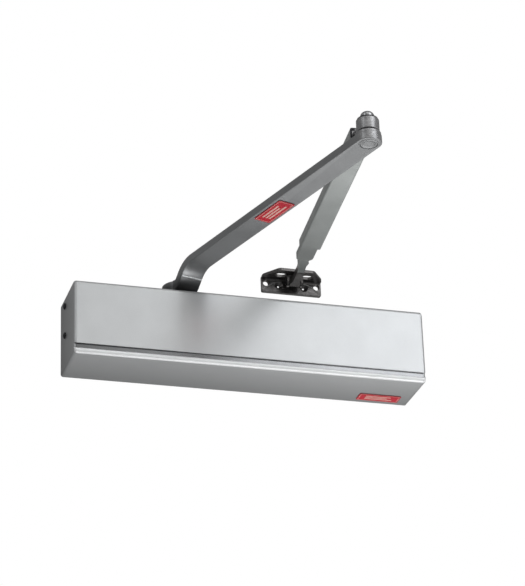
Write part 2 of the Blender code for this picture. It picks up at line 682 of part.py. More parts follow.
def make_spindle():
    """Pinion, journals and the square end that carries the arm, all one piece of steel."""
    shaft = cylinder("pinion_shaft", JOURNAL_RADIUS, SHAFT_BOTTOM, HUB_BOTTOM - SHAFT_SHOULDER,
                     parent=arm_axis, finish=STEEL)
    gear = prism("weld_gear", gear_outline(), -GEAR_HALF, GEAR_HALF, parent=arm_axis)
    gear.rotation_euler = (0.0, 0.0, -MAIN_ANGLE)
    weld(shaft, gear)
    half = SQUARE / 2
    weld(shaft, box("weld_square", (-half, -half, SQUARE_BOTTOM), (half, half, HUB_TOP - SQUARE_SHORT),
                    parent=arm_axis))
    cut(shaft, cylinder("cut_hub_thread", HUB_THREAD_RADIUS, HUB_TOP - HUB_THREAD_DEPTH, HUB_TOP + PAST,
                        parent=arm_axis, segments=16))


# ---------------------------------------------------------------- springs
def coil_spring(name, low, high, mean, wire, turns, hand, steps, sides):
    """A compression spring along X with its two ends cut flat across the wire."""
    bm = bmesh.new()
    rows = []
    count = turns * steps
    rise = (high - low - 2 * wire) / count
    for step in range(count + 1):
        angle = hand * 2 * math.pi * step / steps
        out = Vector((0.0, math.cos(angle), math.sin(angle)))
        along = Vector((1.0, 0.0, 0.0))
        centre = out * mean + along * (low + wire + rise * step)
        row = []
        for side in range(sides):
            around = 2 * math.pi * side / sides
            offset = out * math.cos(around) + along * math.sin(around)
            row.append(bm.verts.new(centre + offset * wire))
        rows.append(row)
    for first, second in zip(rows, rows[1:]):
        for side in range(sides):
            after = (side + 1) % sides
            bm.faces.new([first[side], first[after], second[after], second[side]])
    bm.faces.new(rows[0])
    bm.faces.new(rows[-1])
    return place(bm, name, SPRING, None, (0.0, BORE_Y, 0.0))


def make_spring_pack():
    ends = (PISTON_RIGHT + GAP, SEAT_FACE - GAP)
    coil_spring("outer_spring", *ends, **OUTER_SPRING)
    coil_spring("inner_spring", *ends, **INNER_SPRING)
    spot = (0.0, BORE_Y, 0.0)
    ring("spring_seat", POWER_SCREW_RADIUS + GAP, BORE_RADIUS - 0.5, SEAT_FACE,
         SEAT_FACE + SEAT_THICKNESS, STEEL, spot, "X", 24)
    radius = POWER_SCREW_RADIUS
    under_head = BARREL_HALF + PLUG_STANDOUT + GAP
    profile = [(radius - 1.0, POWER_SCREW_TIP), (radius, POWER_SCREW_TIP + POWER_SCREW_POINT)]
    profile += [(radius, under_head)]
    profile += [(POWER_SCREW_HEAD_RADIUS, under_head + 0.1)]
    profile += [(POWER_SCREW_HEAD_RADIUS, POWER_SCREW_HEAD_END)]
    screw = turned("power_screw", profile, STEEL, spot, "X", 12)
    hexagon = arc((0, 0), POWER_SCREW_SOCKET, 0, 300, 5)
    floor = POWER_SCREW_HEAD_END - POWER_SCREW_SOCKET_DEPTH
    cut(screw, prism("cut_hex", hexagon, floor, POWER_SCREW_HEAD_END + PAST, None, "YZ", None, spot))


# ---------------------------------------------------------------- main arm
def bend_point(travel_angle, low_side):
    """Centre line of the gooseneck and its slope, on the lower or the upper arc."""
    start_z = (HUB_BOTTOM + HUB_TOP) / 2
    end_z = BAR_BOTTOM + ARM_THICKNESS / 2
    arcs_rise = (BEND_LOW_RADIUS + BEND_HIGH_RADIUS) * (1 - math.cos(BEND_ANGLE))
    ramp = (end_z - start_z - arcs_rise) / math.sin(BEND_ANGLE)
    if low_side:
        along = BEND_START + BEND_LOW_RADIUS * math.sin(travel_angle)
        return along, start_z + BEND_LOW_RADIUS * (1 - math.cos(travel_angle))
    end = BEND_START + (BEND_LOW_RADIUS + BEND_HIGH_RADIUS) * math.sin(BEND_ANGLE)
    end += ramp * math.cos(BEND_ANGLE)
    along = end - BEND_HIGH_RADIUS * math.sin(travel_angle)
    return along, end_z - BEND_HIGH_RADIUS * (1 - math.cos(travel_angle))


def arm_stations():
    """(along, height, slope, half thickness, half width) from the hub's tip to the elbow's."""
    stations = []
    thick_low = (HUB_TOP - HUB_BOTTOM) / 2
    thick_high = ARM_THICKNESS / 2
    half = ARM_WIDTH / 2
    level = (HUB_BOTTOM + HUB_TOP) / 2
    hub_run = math.sqrt(HUB_RADIUS**2 - half**2)
    hub_stop = math.degrees(math.atan2(half, hub_run))
    for point in arc((0, 0), HUB_RADIUS, 178, hub_stop, 12):
        stations.append((point[0], level, 0.0, thick_low, point[1]))
    steps = 6
    for step in range(1, steps + 1):
        angle = BEND_ANGLE * step / steps
        along, height = bend_point(angle, True)
        thick = thick_low + (thick_high - thick_low) * 0.75 * step / steps
        stations.append((along, height, angle, thick, half))
    for step in range(steps + 1):
        angle = BEND_ANGLE * (steps - step) / steps
        along, height = bend_point(angle, False)
        thick = thick_high + (thick_low - thick_high) * 0.25 * (steps - step) / steps
        stations.append((along, height, angle, thick, half))
    level = BAR_BOTTOM + thick_high
    for point in arc((MAIN_LENGTH, 0), half, 90, 2, 10):
        stations.append((point[0], level, 0.0, thick_high, point[1]))
    return stations


def make_main_arm():
    bm = bmesh.new()
    rows = []
    for along, height, slope, thick, half in arm_stations():
        across = Vector((-math.sin(slope), 0.0, math.cos(slope)))
        centre = Vector((along, 0.0, height))
        row = []
        for side, lift in ((-1, -1), (1, -1), (1, 1), (-1, 1)):
            sideways = Vector((0.0, side * half, 0.0))
            row.append(bm.verts.new(centre + across * lift * thick + sideways))
        rows.append(row)
    for first, second in zip(rows, rows[1:]):
        for side in range(4):
            after = (side + 1) % 4
            bm.faces.new([first[side], first[after], second[after], second[side]])
    bm.faces.new(rows[0])
    bm.faces.new(rows[-1])
    arm = place(bm, "main_arm", ARM_PAINT, arm_axis)
    elbow = (MAIN_LENGTH, 0.0, 0.0)
    bar_top = BAR_BOTTOM + ARM_THICKNESS
    weld(arm, cylinder("weld_elbow_boss", ELBOW_BOSS_RADIUS, bar_top - 2.0, ELBOW_BOSS_TOP, elbow,
                       parent=arm_axis))
    half = SQUARE / 2 + GAP
    cut(arm, box("cut_square", (-half, -half, HUB_BOTTOM - PAST), (half, half, HUB_TOP + PAST),
                 parent=arm_axis))
    seat_top = BAR_BOTTOM + RIVET_HEAD_THICKNESS + GAP
    seat = [(RIVET_HEAD_RADIUS + GAP, BAR_BOTTOM - PAST), (RIVET_HEAD_RADIUS + GAP, seat_top)]
    seat += [(RIVET_RADIUS + GAP, seat_top), (RIVET_RADIUS + GAP, ELBOW_BOSS_TOP + PAST)]
    cut(arm, turned("cut_rivet_way", seat, None, elbow, segments=20, parent=arm_axis))


def make_arm_fasteners():
    """Hub screw and washer, and the stack on the elbow rivet."""
    washer_top = HUB_TOP + GAP + HUB_WASHER_THICKNESS
    ring("hub_washer", HUB_WASHER_HOLE, HUB_WASHER_RADIUS, HUB_TOP + GAP, washer_top, STEEL,
         parent=arm_axis)
    head_top = HUB_TOP + HUB_SCREW_HEAD_TOP
    profile = [(HUB_SCREW_RADIUS, HUB_TOP - HUB_SCREW_LENGTH), (HUB_SCREW_RADIUS, washer_top + 0.2)]
    profile += [(HUB_SCREW_HEAD_RADIUS, washer_top + GAP), (HUB_SCREW_HEAD_RADIUS, head_top - 1.0)]
    profile += [(HUB_SCREW_HEAD_RADIUS - 1.2, head_top)]
    screw = turned("hub_screw", profile, STEEL, segments=18, parent=arm_axis)
    hexagon = arc((0, 0), HUB_SOCKET_RADIUS, 0, 300, 5)
    cut(screw, prism("cut_hub_hex", hexagon, HUB_TOP + HUB_SOCKET_FLOOR, head_top + PAST,
                     parent=arm_axis))
    elbow = (MAIN_LENGTH, 0.0, 0.0)
    head_top = BAR_BOTTOM + RIVET_HEAD_THICKNESS
    profile = [(RIVET_HEAD_RADIUS, BAR_BOTTOM), (RIVET_HEAD_RADIUS, head_top)]
    profile += [(RIVET_RADIUS, head_top), (RIVET_RADIUS, KNUCKLE_TOP + RIVET_STANDOUT)]
    turned("elbow_rivet", profile, STEEL, elbow, parent=arm_axis)
    ring("elbow_lower_washer", RIVET_RADIUS + GAP, LOWER_WASHER_RADIUS, ELBOW_BOSS_TOP + GAP,
         KNUCKLE_BOTTOM - GAP, DARK, elbow, parent=arm_axis)
    washer_top = KNUCKLE_TOP + GAP + UPPER_WASHER_THICKNESS
    ring("elbow_upper_washer", RIVET_RADIUS + GAP, UPPER_WASHER_RADIUS, KNUCKLE_TOP + GAP, washer_top,
         DARK, elbow, parent=arm_axis)
    base = washer_top + GAP
    dome = base + CAP_NUT_SKIRT
    profile = [(RIVET_RADIUS + GAP, base + CAP_NUT_WELL), (RIVET_RADIUS + GAP, base), (CAP_NUT_RADIUS, base)]
    for step in range(5):
        angle = math.pi / 2 * step / 5
        height = dome + (CAP_NUT_TOP - dome) * math.sin(angle)
        profile.append((CAP_NUT_RADIUS * math.cos(angle), height))
    turned("elbow_cap_nut", profile, STEEL, elbow, parent=arm_axis)


# ---------------------------------------------------------------- forearm
TUBE_TOP = TUBE_BOTTOM + TUBE_HEIGHT
INNER_LOW = TUBE_BOTTOM + TUBE_WALL + GAP
INNER_HIGH = TUBE_TOP - TUBE_WALL - GAP
INNER_HALF = TUBE_WIDTH / 2 - TUBE_WALL - GAP


def make_knuckle():
    """Round eye on the elbow rivet, with a shank that plugs into the forearm tube."""
    eye = cylinder("elbow_knuckle", KNUCKLE_RADIUS, KNUCKLE_BOTTOM, KNUCKLE_TOP, parent=elbow_axis,
                   finish=ARM_PAINT, segments=28)
    neck_top = KNUCKLE_TOP - 0.3
    neck = box("weld_neck", (NECK_START, -NECK_HALF, TUBE_BOTTOM + 0.2),
               (TUBE_START - 0.5, NECK_HALF, neck_top), parent=elbow_axis)
    weld(eye, neck)
    shank = box("weld_shank", (TUBE_START - 6.0, -NECK_HALF, INNER_LOW),
                (SHANK_END, NECK_HALF, neck_top), parent=elbow_axis)
    weld(eye, shank)
    fill = box("weld_shank_body", (TUBE_START + 1.0, -INNER_HALF, INNER_LOW),
               (SHANK_END, INNER_HALF, INNER_HIGH), parent=elbow_axis)
    weld(eye, fill)
    cut(eye, cylinder("cut_eye", ELBOW_EYE_RADIUS, KNUCKLE_BOTTOM - PAST, KNUCKLE_TOP + PAST,
                      parent=elbow_axis, segments=20))
    ring("elbow_bush", RIVET_RADIUS + GAP, BUSH_RADIUS, KNUCKLE_BOTTOM, KNUCKLE_TOP, BRASS,
         parent=elbow_axis)


def make_forearm_tube():
    outline = round_box((-TUBE_WIDTH / 2, TUBE_BOTTOM), (TUBE_WIDTH / 2, TUBE_TOP),
                        TUBE_CORNER_RADIUS)
    tube = prism("forearm_tube", outline, TUBE_START, TUBE_END, ARM_PAINT, "YZ", elbow_axis)
    half = TUBE_WIDTH / 2 - TUBE_WALL
    cut(tube, box("cut_tube", (TUBE_START - PAST, -half, TUBE_BOTTOM + TUBE_WALL),
                  (TUBE_END + PAST, half, TUBE_TOP - TUBE_WALL), parent=elbow_axis))
    reach = (SLIDE_IN + SLIDE_OUT) / 2 + CLAMP_SLOT_HALF + GAP
    middle = (CLAMP_X + (SLIDE_OUT - SLIDE_IN) / 2, 0.0, 0.0)
    cut(tube, prism("cut_clamp_slot", round_slot(reach, CLAMP_SLOT_HALF), TUBE_TOP - TUBE_WALL - PAST,
                    TUBE_TOP + PAST, parent=elbow_axis, location=middle))


def make_adjusting_bar():
    """Flat bar inside the tube, stepped down to a narrow tongue with an eye for the yoke pin."""
    tongue_low = PIN_HEIGHT - TONGUE_EYE
    tongue_high = PIN_HEIGHT + TONGUE_EYE
    side = [(BAR_INNER_START, INNER_LOW), (BAR_TAPER_START, INNER_LOW), (TONGUE_START, tongue_low)]
    side += arc((FORE_LENGTH, PIN_HEIGHT), TONGUE_EYE, -90, 90, 8)
    side += [(TONGUE_START, tongue_high), (BAR_SHOULDER, INNER_HIGH), (BAR_INNER_START, INNER_HIGH)]
    bar = prism("adjusting_bar", side, -INNER_HALF, INNER_HALF, ARM_PAINT, "XZ", elbow_axis)
    for sign in (-1, 1):
        radius = SHOULDER_RADIUS
        beside = INNER_HALF + PAST
        beyond = FORE_LENGTH + TONGUE_EYE + PAST
        edge = [(BAR_SHOULDER - radius - 2, beside), (BAR_SHOULDER - radius - 2, INNER_HALF + 0.05)]
        edge += arc((BAR_SHOULDER - radius, INNER_HALF - radius), radius, 85, 10, 3)
        edge += [(BAR_SHOULDER + 3, TONGUE_HALF), (beyond, TONGUE_HALF), (beyond, beside)]
        edge = [(along, sign * across) for along, across in edge]
        name = "cut_shoulder_left" if sign > 0 else "cut_shoulder_right"
        cut(bar, prism(name, edge, tongue_low - PAST, INNER_HIGH + PAST, parent=elbow_axis))
    clamp = (CLAMP_X, 0.0, 0.0)
    cut(bar, cylinder("cut_clamp_hole", CLAMP_SCREW_RADIUS + GAP, INNER_LOW - PAST, INNER_HIGH + PAST,
                      clamp, segments=16, parent=elbow_axis))
    side = TONGUE_HALF + PAST
    cut(bar, cylinder("cut_pin_hole", PIN_HOLE_RADIUS, -side, side, (FORE_LENGTH, 0, PIN_HEIGHT), "Y",
                      16, elbow_axis))
    head_top = TUBE_TOP + CLAMP_HEAD_TOP
    profile = [(CLAMP_SCREW_RADIUS, INNER_LOW + 0.4), (CLAMP_SCREW_RADIUS, TUBE_TOP + 0.2)]
    profile += [(CLAMP_HEAD_RADIUS, TUBE_TOP + GAP), (CLAMP_HEAD_RADIUS, head_top - 0.6)]
    profile += [(CLAMP_HEAD_RADIUS - 1.7, head_top)]
    screw = turned("forearm_clamp_screw", profile, STEEL, clamp, "Z", 18, elbow_axis)
    side = CLAMP_HEAD_RADIUS + PAST
    half = CLAMP_DRIVE_HALF
    cut(screw, box("cut_clamp_drive", (-side, -half, TUBE_TOP + CLAMP_DRIVE_FLOOR),
                   (side, half, head_top + PAST), None, elbow_axis, clamp))


# ---------------------------------------------------------------- yoke and shoe
YOKE_OUTER = TONGUE_HALF + YOKE_SIDE_GAP + EAR_THICKNESS
YOKE_TOP = PLATE_BOTTOM - GAP
YOKE_BASE = YOKE_TOP - YOKE_WEB


def make_yoke():
    """Swivel clevis under the shoe: two ears and a web, with the pin that carries the tongue."""
    ear = [(YOKE_HALF, YOKE_TOP - PIN_HEIGHT), (-YOKE_HALF, YOKE_TOP - PIN_HEIGHT)]
    ear += arc((0, 0), YOKE_HALF, 180, 360, 10)
    yoke = prism("shoe_yoke", ear, -YOKE_OUTER, YOKE_OUTER, DARK, "XZ", tilt_axis)
    inner = YOKE_OUTER - EAR_THICKNESS
    reach = YOKE_HALF + PAST
    cut(yoke, box("cut_yoke_gap", (-reach, -inner, -reach), (reach, inner, YOKE_BASE - PIN_HEIGHT),
                  parent=tilt_axis))
    side = YOKE_OUTER + PAST
    cut(yoke, cylinder("cut_yoke_pin", PIN_HOLE_RADIUS, -side, side, axis="Y", segments=16,
                       parent=tilt_axis))
    sink = [(SWIVEL_RADIUS + GAP, PAST), (SWIVEL_RADIUS + GAP, -0.6)]
    sink += [(SWIVEL_FOOT_RADIUS + 0.8, YOKE_BASE - YOKE_TOP - 0.6)]
    sink = [(radius, YOKE_TOP - PIN_HEIGHT + height) for radius, height in sink]
    cut(yoke, turned("cut_yoke_sink", sink, None, segments=20, parent=tilt_axis))
    head = YOKE_OUTER + 0.2
    end = head + PIN_HEAD_THICKNESS
    profile = [(PIN_HEAD_RADIUS - 0.2, -end), (PIN_HEAD_RADIUS, -head), (PIN_RADIUS, -head)]
    profile += [(PIN_RADIUS, head), (PIN_HEAD_RADIUS, head), (PIN_HEAD_RADIUS - 0.2, end)]
    turned("yoke_pin", profile, STEEL, axis="Y", segments=16, parent=tilt_axis)


def make_shoe():
    """Angle bracket: a vertical flange for the frame face and a flat plate for the soffit."""
    half = SHOE_WIDTH / 2
    front = SHOE_FRONT_WIDTH / 2
    lift = -PIN_HEIGHT
    back = -SHOE_Y
    plate_top = PLATE_BOTTOM + SHOE_PLATE
    flange = round_box((-half, SHOE_BOTTOM + lift), (half, plate_top + lift), SHOE_CORNER_RADIUS)
    shoe = prism("arm_shoe", flange, back - SHOE_FLANGE, back, DARK, "XZ", shoe_axis)
    reach = SHOE_FRONT_Y - SHOE_Y
    outline = [(-half + 0.2, back - 1.0), (-half + 0.2, back - PLATE_SHOULDER), (-front - 1.5, reach + 1.0)]
    outline += [(-front, reach), (front, reach), (front + 1.5, reach + 1.0)]
    outline += [(half - 0.2, back - PLATE_SHOULDER), (half - 0.2, back - 1.0)]
    bottom = PLATE_BOTTOM + lift
    top = plate_top + lift - 0.1
    weld(shoe, prism("weld_plate", outline, bottom, top, parent=shoe_axis))
    for name, x, z, radius in FLANGE_HOLES:
        cut(shoe, cylinder("cut_flange_" + name, radius, back - SHOE_FLANGE - PAST, back + PAST,
                           (x, 0.0, z + lift), "Y", 12, shoe_axis))
    for name, x in (("left", -PLATE_HOLE_X), ("right", PLATE_HOLE_X)):
        cut(shoe, cylinder("cut_plate_" + name, PLATE_HOLE_RADIUS, bottom - PAST, top + PAST,
                           (x, 0.0, 0.0), segments=14, parent=shoe_axis))
    sink = top - SWIVEL_HEAD_DEPTH
    way = [(SWIVEL_RADIUS + GAP, bottom - PAST), (SWIVEL_RADIUS + GAP, sink)]
    way += [(SWIVEL_HEAD_RADIUS + GAP, top - GAP), (SWIVEL_HEAD_RADIUS + GAP, top + PAST)]
    cut(shoe, turned("cut_swivel", way, None, segments=20, parent=shoe_axis))
    under = YOKE_TOP + lift
    profile = [(SWIVEL_FOOT_RADIUS, under - 1.75), (SWIVEL_RADIUS, under - 0.7)]
    profile += [(SWIVEL_RADIUS, sink), (SWIVEL_HEAD_RADIUS, top - GAP), (SWIVEL_HEAD_RADIUS, top - 0.1)]
    turned("swivel_rivet", profile, STEEL, segments=20, parent=shoe_axis)


# ---------------------------------------------------------------- labels
def make_labels():
    """Plain red plates: one under the main arm, one under the right end of the cover."""
    half = LABEL_LENGTH / 2
    wide = LABEL_WIDTH / 2
    outline = round_box((-half, -wide), (half, wide), LABEL_CORNER_RADIUS, 2)
    top = BAR_BOTTOM - GAP
    prism("arm_label", outline, top - LABEL_THICKNESS, top, RED, parent=arm_axis,
          location=(ARM_LABEL_ALONG, 0.0, 0.0))
    top = -HALF_H - GAP
    prism("cover_label", outline, top - LABEL_THICKNESS, top, RED, location=(*COVER_LABEL_PLACE, 0.0))


make_cover()
make_cover_screws()
make_body()
make_valves()
make_plugs()
make_bearings()
make_piston()
make_spindle()
make_spring_pack()
make_main_arm()
make_arm_fasteners()
make_knuckle()
make_forearm_tube()
make_adjusting_bar()
make_yoke()
make_shoe()
make_labels()
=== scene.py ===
"""The looks of a surface-mounted door closer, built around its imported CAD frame.

Shapes are written in millimetres in the frame of the body that they belong to, and each piece
is turned into metres in the row frame as it is made. Spots and directions come from the joints
and from the boxes of the CAD nodes.
"""

import json
import math

import bmesh
import bpy
from mathutils import Matrix, Vector


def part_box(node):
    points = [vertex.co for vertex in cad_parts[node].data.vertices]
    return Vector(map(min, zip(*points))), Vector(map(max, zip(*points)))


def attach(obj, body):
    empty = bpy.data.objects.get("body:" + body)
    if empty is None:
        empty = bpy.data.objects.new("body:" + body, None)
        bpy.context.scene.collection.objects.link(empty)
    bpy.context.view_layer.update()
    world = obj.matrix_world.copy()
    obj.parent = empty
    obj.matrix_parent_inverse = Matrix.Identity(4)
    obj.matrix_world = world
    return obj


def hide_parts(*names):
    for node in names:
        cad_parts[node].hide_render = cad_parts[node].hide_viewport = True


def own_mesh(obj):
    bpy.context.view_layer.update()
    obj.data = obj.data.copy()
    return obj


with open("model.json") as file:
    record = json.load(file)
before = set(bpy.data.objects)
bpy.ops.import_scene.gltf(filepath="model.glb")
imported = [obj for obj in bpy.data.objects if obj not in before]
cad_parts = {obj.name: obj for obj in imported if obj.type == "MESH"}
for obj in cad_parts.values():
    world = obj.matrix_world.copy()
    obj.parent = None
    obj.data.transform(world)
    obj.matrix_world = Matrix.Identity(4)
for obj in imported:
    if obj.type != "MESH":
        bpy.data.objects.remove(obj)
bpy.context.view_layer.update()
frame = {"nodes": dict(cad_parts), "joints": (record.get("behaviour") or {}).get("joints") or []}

MM = 0.001
GAP = 0.3
PAST = 1.0                    # how far a cutter runs past the face that it cuts
NEAR_AXIS = 0.1               # a profile starts or ends this far from its axis
SHARP_ANGLE = math.radians(40.0)

# Cover
END_PLATE = 2.5
COVER_WALL = 2.0
EDGE_RADIUS = 3.2
LIP_RADIUS = 3.0
GROOVE_TOP = -24.8
GROOVE_BOTTOM = -28.8
GROOVE_DEPTH = 1.5
GROOVE_WALL = 2.2
SEAM = 0.05                   # between the shell and an end plate
END_RADIUS = 2.2
NOTCH_RADIUS = 16.0
SCREW_HOLE_RADIUS = 2.2
SCREW_HEAD_RADIUS = 2.9
SCREW_HEAD_HEIGHT = 1.7

# Body casting
BARREL_RADIUS = 23.0
BARREL_HALF = 132.0
BORE_RADIUS = 18.0
FOOT_END = 151.0
FOOT_START = 128.0
FOOT_DEPTH = 24.0
FOOT_HALF = 29.0
SPINE_DEPTH = 14.0
SPINE_HALF = 13.0
MOUNT_HOLE = (139.0, 21.5)    # distances from the middle along X and Z
MOUNT_HOLE_RADIUS = 3.4
PINION_BORE = 12.0
PINION_BOSS = 17.0
PINION_BOSS_HALF = 30.0
VALVE_BOSS_RADIUS = 6.5
VALVE_BOSS_LENGTH = 40.0
VALVE_BORE_RADIUS = 4.0
VALVE_BORE_DEPTH = 26.0
VALVES = ("sweep", "latch", "backcheck")

# Arm
ARM_HALF = 10.6
ARM_THICKNESS = 7.0
ARM_EDGE = 1.1
HUB_RADIUS = 14.0
HUB_TOP = 48.0
BEND_START = 9.0
BEND_ANGLE = math.radians(48.0)
BEND_LOW_RADIUS = 9.0
BEND_HIGH_RADIUS = 24.0
RISER_EXTRA = 0.25            # share of the hub's extra thickness between the two bends
SQUARE_HALF = 5.0
RIVET_RADIUS = 4.0
RIVET_HEAD = 6.6
RIVET_HEAD_THICKNESS = 2.2
RIM_HEIGHT = 0.35             # raised rim round the rivet, under the arm
RIDGE_RADIUS = 1.1
RIDGE_RISE = 0.45
ELBOW_BOSS = 10.2
KNUCKLE_RADIUS = 9.2
KNUCKLE_EYE = 5.4
NECK_HALF = 5.0
SET_IN = 0.02                 # welded blocks keep their faces this far apart
SHANK_END = 46.0
COLLAR_START = 13.0
TUBE_START = 20.0
TUBE_END = 218.0
TUBE_HALF = 9.4
TUBE_WALL = 1.7
TUBE_CORNER = 1.8
CLAMP_ALONG = 170.0
CLAMP_SLOT = (30.7, 3.2, 2.5)  # half length, half width, how far it sits beyond the screw
BAR_START = 105.0
BAR_SHOULDER = 244.0
BAR_HALF = TUBE_HALF - TUBE_WALL - GAP
TONGUE_RUN = 28.0
TONGUE_HALF = 4.5
TONGUE_NECK = 3.1
TONGUE_EYE = 3.4
PIN_HOLE = 2.0
EAR_OUTER = 7.15
EAR_INNER = 4.95
YOKE_HALF = 4.2
YOKE_WEB = 1.8

# Shoe, measured from its pivot
SHOE_HALF = 27.5
SHOE_FRONT_HALF = 16.0
SHOE_REACH = -10.0
SHOE_BACK = 12.0
SHOE_FLANGE = 3.0
SHOE_PLATE = 2.5
PLATE_SLOT = (5.0, 3.5)        # half length, half width
PLATE_SLOT_OFFSET = 12.0
PAD = ((-27.0, 64.3), (-27.0, 65.6), (-15.0, 74.4), (15.0, 74.4), (27.0, 65.6), (27.0, 64.3))
PAD_THICKNESS = 0.4
YOKE_SWEEP = 9.0               # the ridge stops this far from the middle, clear of the yoke
# x, z, radius, radius of the part that goes through
FLANGE_HOLES = ((-11.6, 70.8, 3.1, 0.9), (11.6, 70.8, 3.1, 0.9),
                (-23.3, 72.6, 2.3, 2.3), (23.3, 72.6, 2.3, 2.3))

LABEL_HALF = (19.0, 7.7)
COVER_LABEL_HALF = 6.6


# ---- places in the frame
JOINTS = {joint["name"]: joint for joint in frame["joints"]}


def flat(name):
    """The place of a hinge on the plane z = 0, in metres."""
    spot = Vector(JOINTS[name]["pos_m"])
    return Vector((spot.x, spot.y, 0.0))


def frame_towards(start, end):
    """A frame at start whose X axis points to end."""
    run = end - start
    return Matrix.Translation(start) @ Matrix.Rotation(math.atan2(run.y, run.x), 4, "Z")


SPINDLE = flat("main_arm_swing")
ELBOW = flat("elbow")
SHOE = flat("shoe_swivel")
ROW = Matrix.Identity(4)
ARM = frame_towards(SPINDLE, ELBOW)
FORE = frame_towards(ELBOW, SHOE)
AT_SHOE = Matrix.Translation(SHOE)
AT_YOKE = AT_SHOE @ FORE.to_3x3().to_4x4()
MAIN_LENGTH = (ELBOW - SPINDLE).length / MM
FORE_LENGTH = (SHOE - ELBOW).length / MM
AT_ELBOW = ARM @ Matrix.Translation((MAIN_LENGTH * MM, 0, 0))
PIN_HEIGHT = JOINTS["shoe_tilt"]["pos_m"][2] / MM


def box_mm(node):
    low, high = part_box(node)
    return low / MM, high / MM


def span(node, axis=2):
    """Lowest and highest value of a node along one axis, in millimetres."""
    low, high = box_mm(node)
    return low[axis], high[axis]


def middle_yz(node):
    """The spot (0, y, z) of a node's middle, in millimetres."""
    low, high = box_mm(node)
    return 0.0, (low.y + high.y) / 2, (low.z + high.z) / 2


COVER_LOW = box_mm("cover_end_left")[0]
COVER_HIGH = box_mm("cover_end_right")[1]
HALF_L = COVER_HIGH.x
HALF_H = COVER_HIGH.z
FRONT = COVER_LOW.y
BORE_Y = sum(span("piston", 1)) / 2
BORE = Matrix.Translation((0.0, BORE_Y * MM, 0.0)) @ Matrix.Rotation(math.pi / 2, 4, "Y")


# ---- materials
def socket_in(node, name, value):
    node.inputs[name].default_value = value


def add(tree, kind):
    return tree.nodes.new("ShaderNode" + kind)


def link(tree, source, node, name):
    tree.links.new(source, node.inputs[name])


def noise(tree, coords, scale, detail, stretch=None):
    """A noise texture over object coordinates, which are metres in the row frame."""
    source = coords
    if stretch:
        mapping = add(tree, "Mapping")
        socket_in(mapping, "Scale", stretch)
        link(tree, coords, mapping, "Vector")
        source = mapping.outputs["Vector"]
    texture = add(tree, "TexNoise")
    socket_in(texture, "Scale", scale)
    socket_in(texture, "Detail", detail)
    link(tree, source, texture, "Vector")
    return texture.outputs["Fac"]


def ramp(tree, source, stops):
    """A colour ramp with (position, colour) stops."""
    node = add(tree, "ValToRGB")
    elements = node.color_ramp.elements
    for element, (position, colour) in zip(elements, stops):
        element.position = position
        element.color = (*colour, 1.0)
    for position, colour in stops[len(elements):]:
        elements.new(position).color = (*colour, 1.0)
    link(tree, source, node, "Fac")
    return node.outputs["Color"]


def shade(colour, factor):
    return tuple(min(1.0, channel * factor) for channel in colour)


MIX_FACTOR, MIX_FIRST, MIX_SECOND = 0, 6, 7      # sockets of a Mix node that mixes colours
MIX_RESULT = 2


def colour_mix(tree, mode="MIX"):
    node = add(tree, "Mix")
    node.data_type = "RGBA"
    node.blend_type = mode
    return node


def surface(name, colour, metallic, roughness, mottle=0.05, grain=1800.0, depth=0.00002,
            wear=0.0, shine=0.5, stretch=None, blotch=45.0, painted_shade=None, sheen=0.06):
    """A metal, paint or rubber: soft mottling, a fine grain in relief and paler worn edges.

    Painted shade is given as (axis, where it is strongest, where it ends, share of the colour that it
    leaves).
    Sheen is how far the roughness wanders to each side.
    """
    made = bpy.data.materials.new(name)
    made.use_nodes = True
    tree = made.node_tree
    shader = tree.nodes["Principled BSDF"]
    socket_in(shader, "Metallic", metallic)
    socket_in(shader, "Specular IOR Level", shine)
    coords = add(tree, "TexCoord").outputs["Object"]

    large = noise(tree, coords, blotch, 5.0)
    tone = ramp(tree, large, [(0.3, shade(colour, 1.0 - mottle)), (0.7, shade(colour, 1.0 + mottle))])
    fine = noise(tree, coords, grain, 2.0, stretch)
    speckle = ramp(tree, fine, [(0.35, (1.0 - mottle,) * 3), (0.65, (1.0, 1.0, 1.0))])
    speckled = colour_mix(tree, "MULTIPLY")
    socket_in(speckled, MIX_FACTOR, 1.0)
    link(tree, tone, speckled, MIX_FIRST)
    link(tree, speckle, speckled, MIX_SECOND)
    colour_out = speckled.outputs[MIX_RESULT]
    if wear:
        edge = add(tree, "NewGeometry").outputs["Pointiness"]
        rubbed = colour_mix(tree)
        worn = ramp(tree, edge, [(0.53, (0.0,) * 3), (0.62, (wear,) * 3)])
        link(tree, worn, rubbed, MIX_FACTOR)
        link(tree, colour_out, rubbed, MIX_FIRST)
        socket_in(rubbed, MIX_SECOND, (*shade(colour, 1.9), 1.0))
        colour_out = rubbed.outputs[MIX_RESULT]
    # Painted shade: the colour darkens along one axis of the object, towards where it is strongest.
    if painted_shade:
        axis, strongest, end, least = painted_shade
        place = add(tree, "SeparateXYZ")
        link(tree, coords, place, "Vector")
        rise = add(tree, "MapRange")
        socket_in(rise, "From Min", strongest * MM)
        socket_in(rise, "From Max", end * MM)
        link(tree, place.outputs[axis], rise, "Value")
        shaded_colour = colour_mix(tree)
        link(tree, rise.outputs["Result"], shaded_colour, MIX_FACTOR)
        socket_in(shaded_colour, MIX_FIRST, (*shade(colour, least), 1.0))
        link(tree, colour_out, shaded_colour, MIX_SECOND)
        colour_out = shaded_colour.outputs[MIX_RESULT]
    link(tree, colour_out, shader, "Base Color")

    spread = add(tree, "MapRange")
    socket_in(spread, "To Min", roughness - sheen)
    socket_in(spread, "To Max", roughness + sheen)
    link(tree, noise(tree, coords, blotch * 3.0, 4.0), spread, "Value")
    link(tree, spread.outputs["Result"], shader, "Roughness")

    bump = add(tree, "Bump")
    socket_in(bump, "Distance", depth)
    link(tree, fine, bump, "Height")
    link(tree, bump.outputs["Normal"], shader, "Normal")
    return made
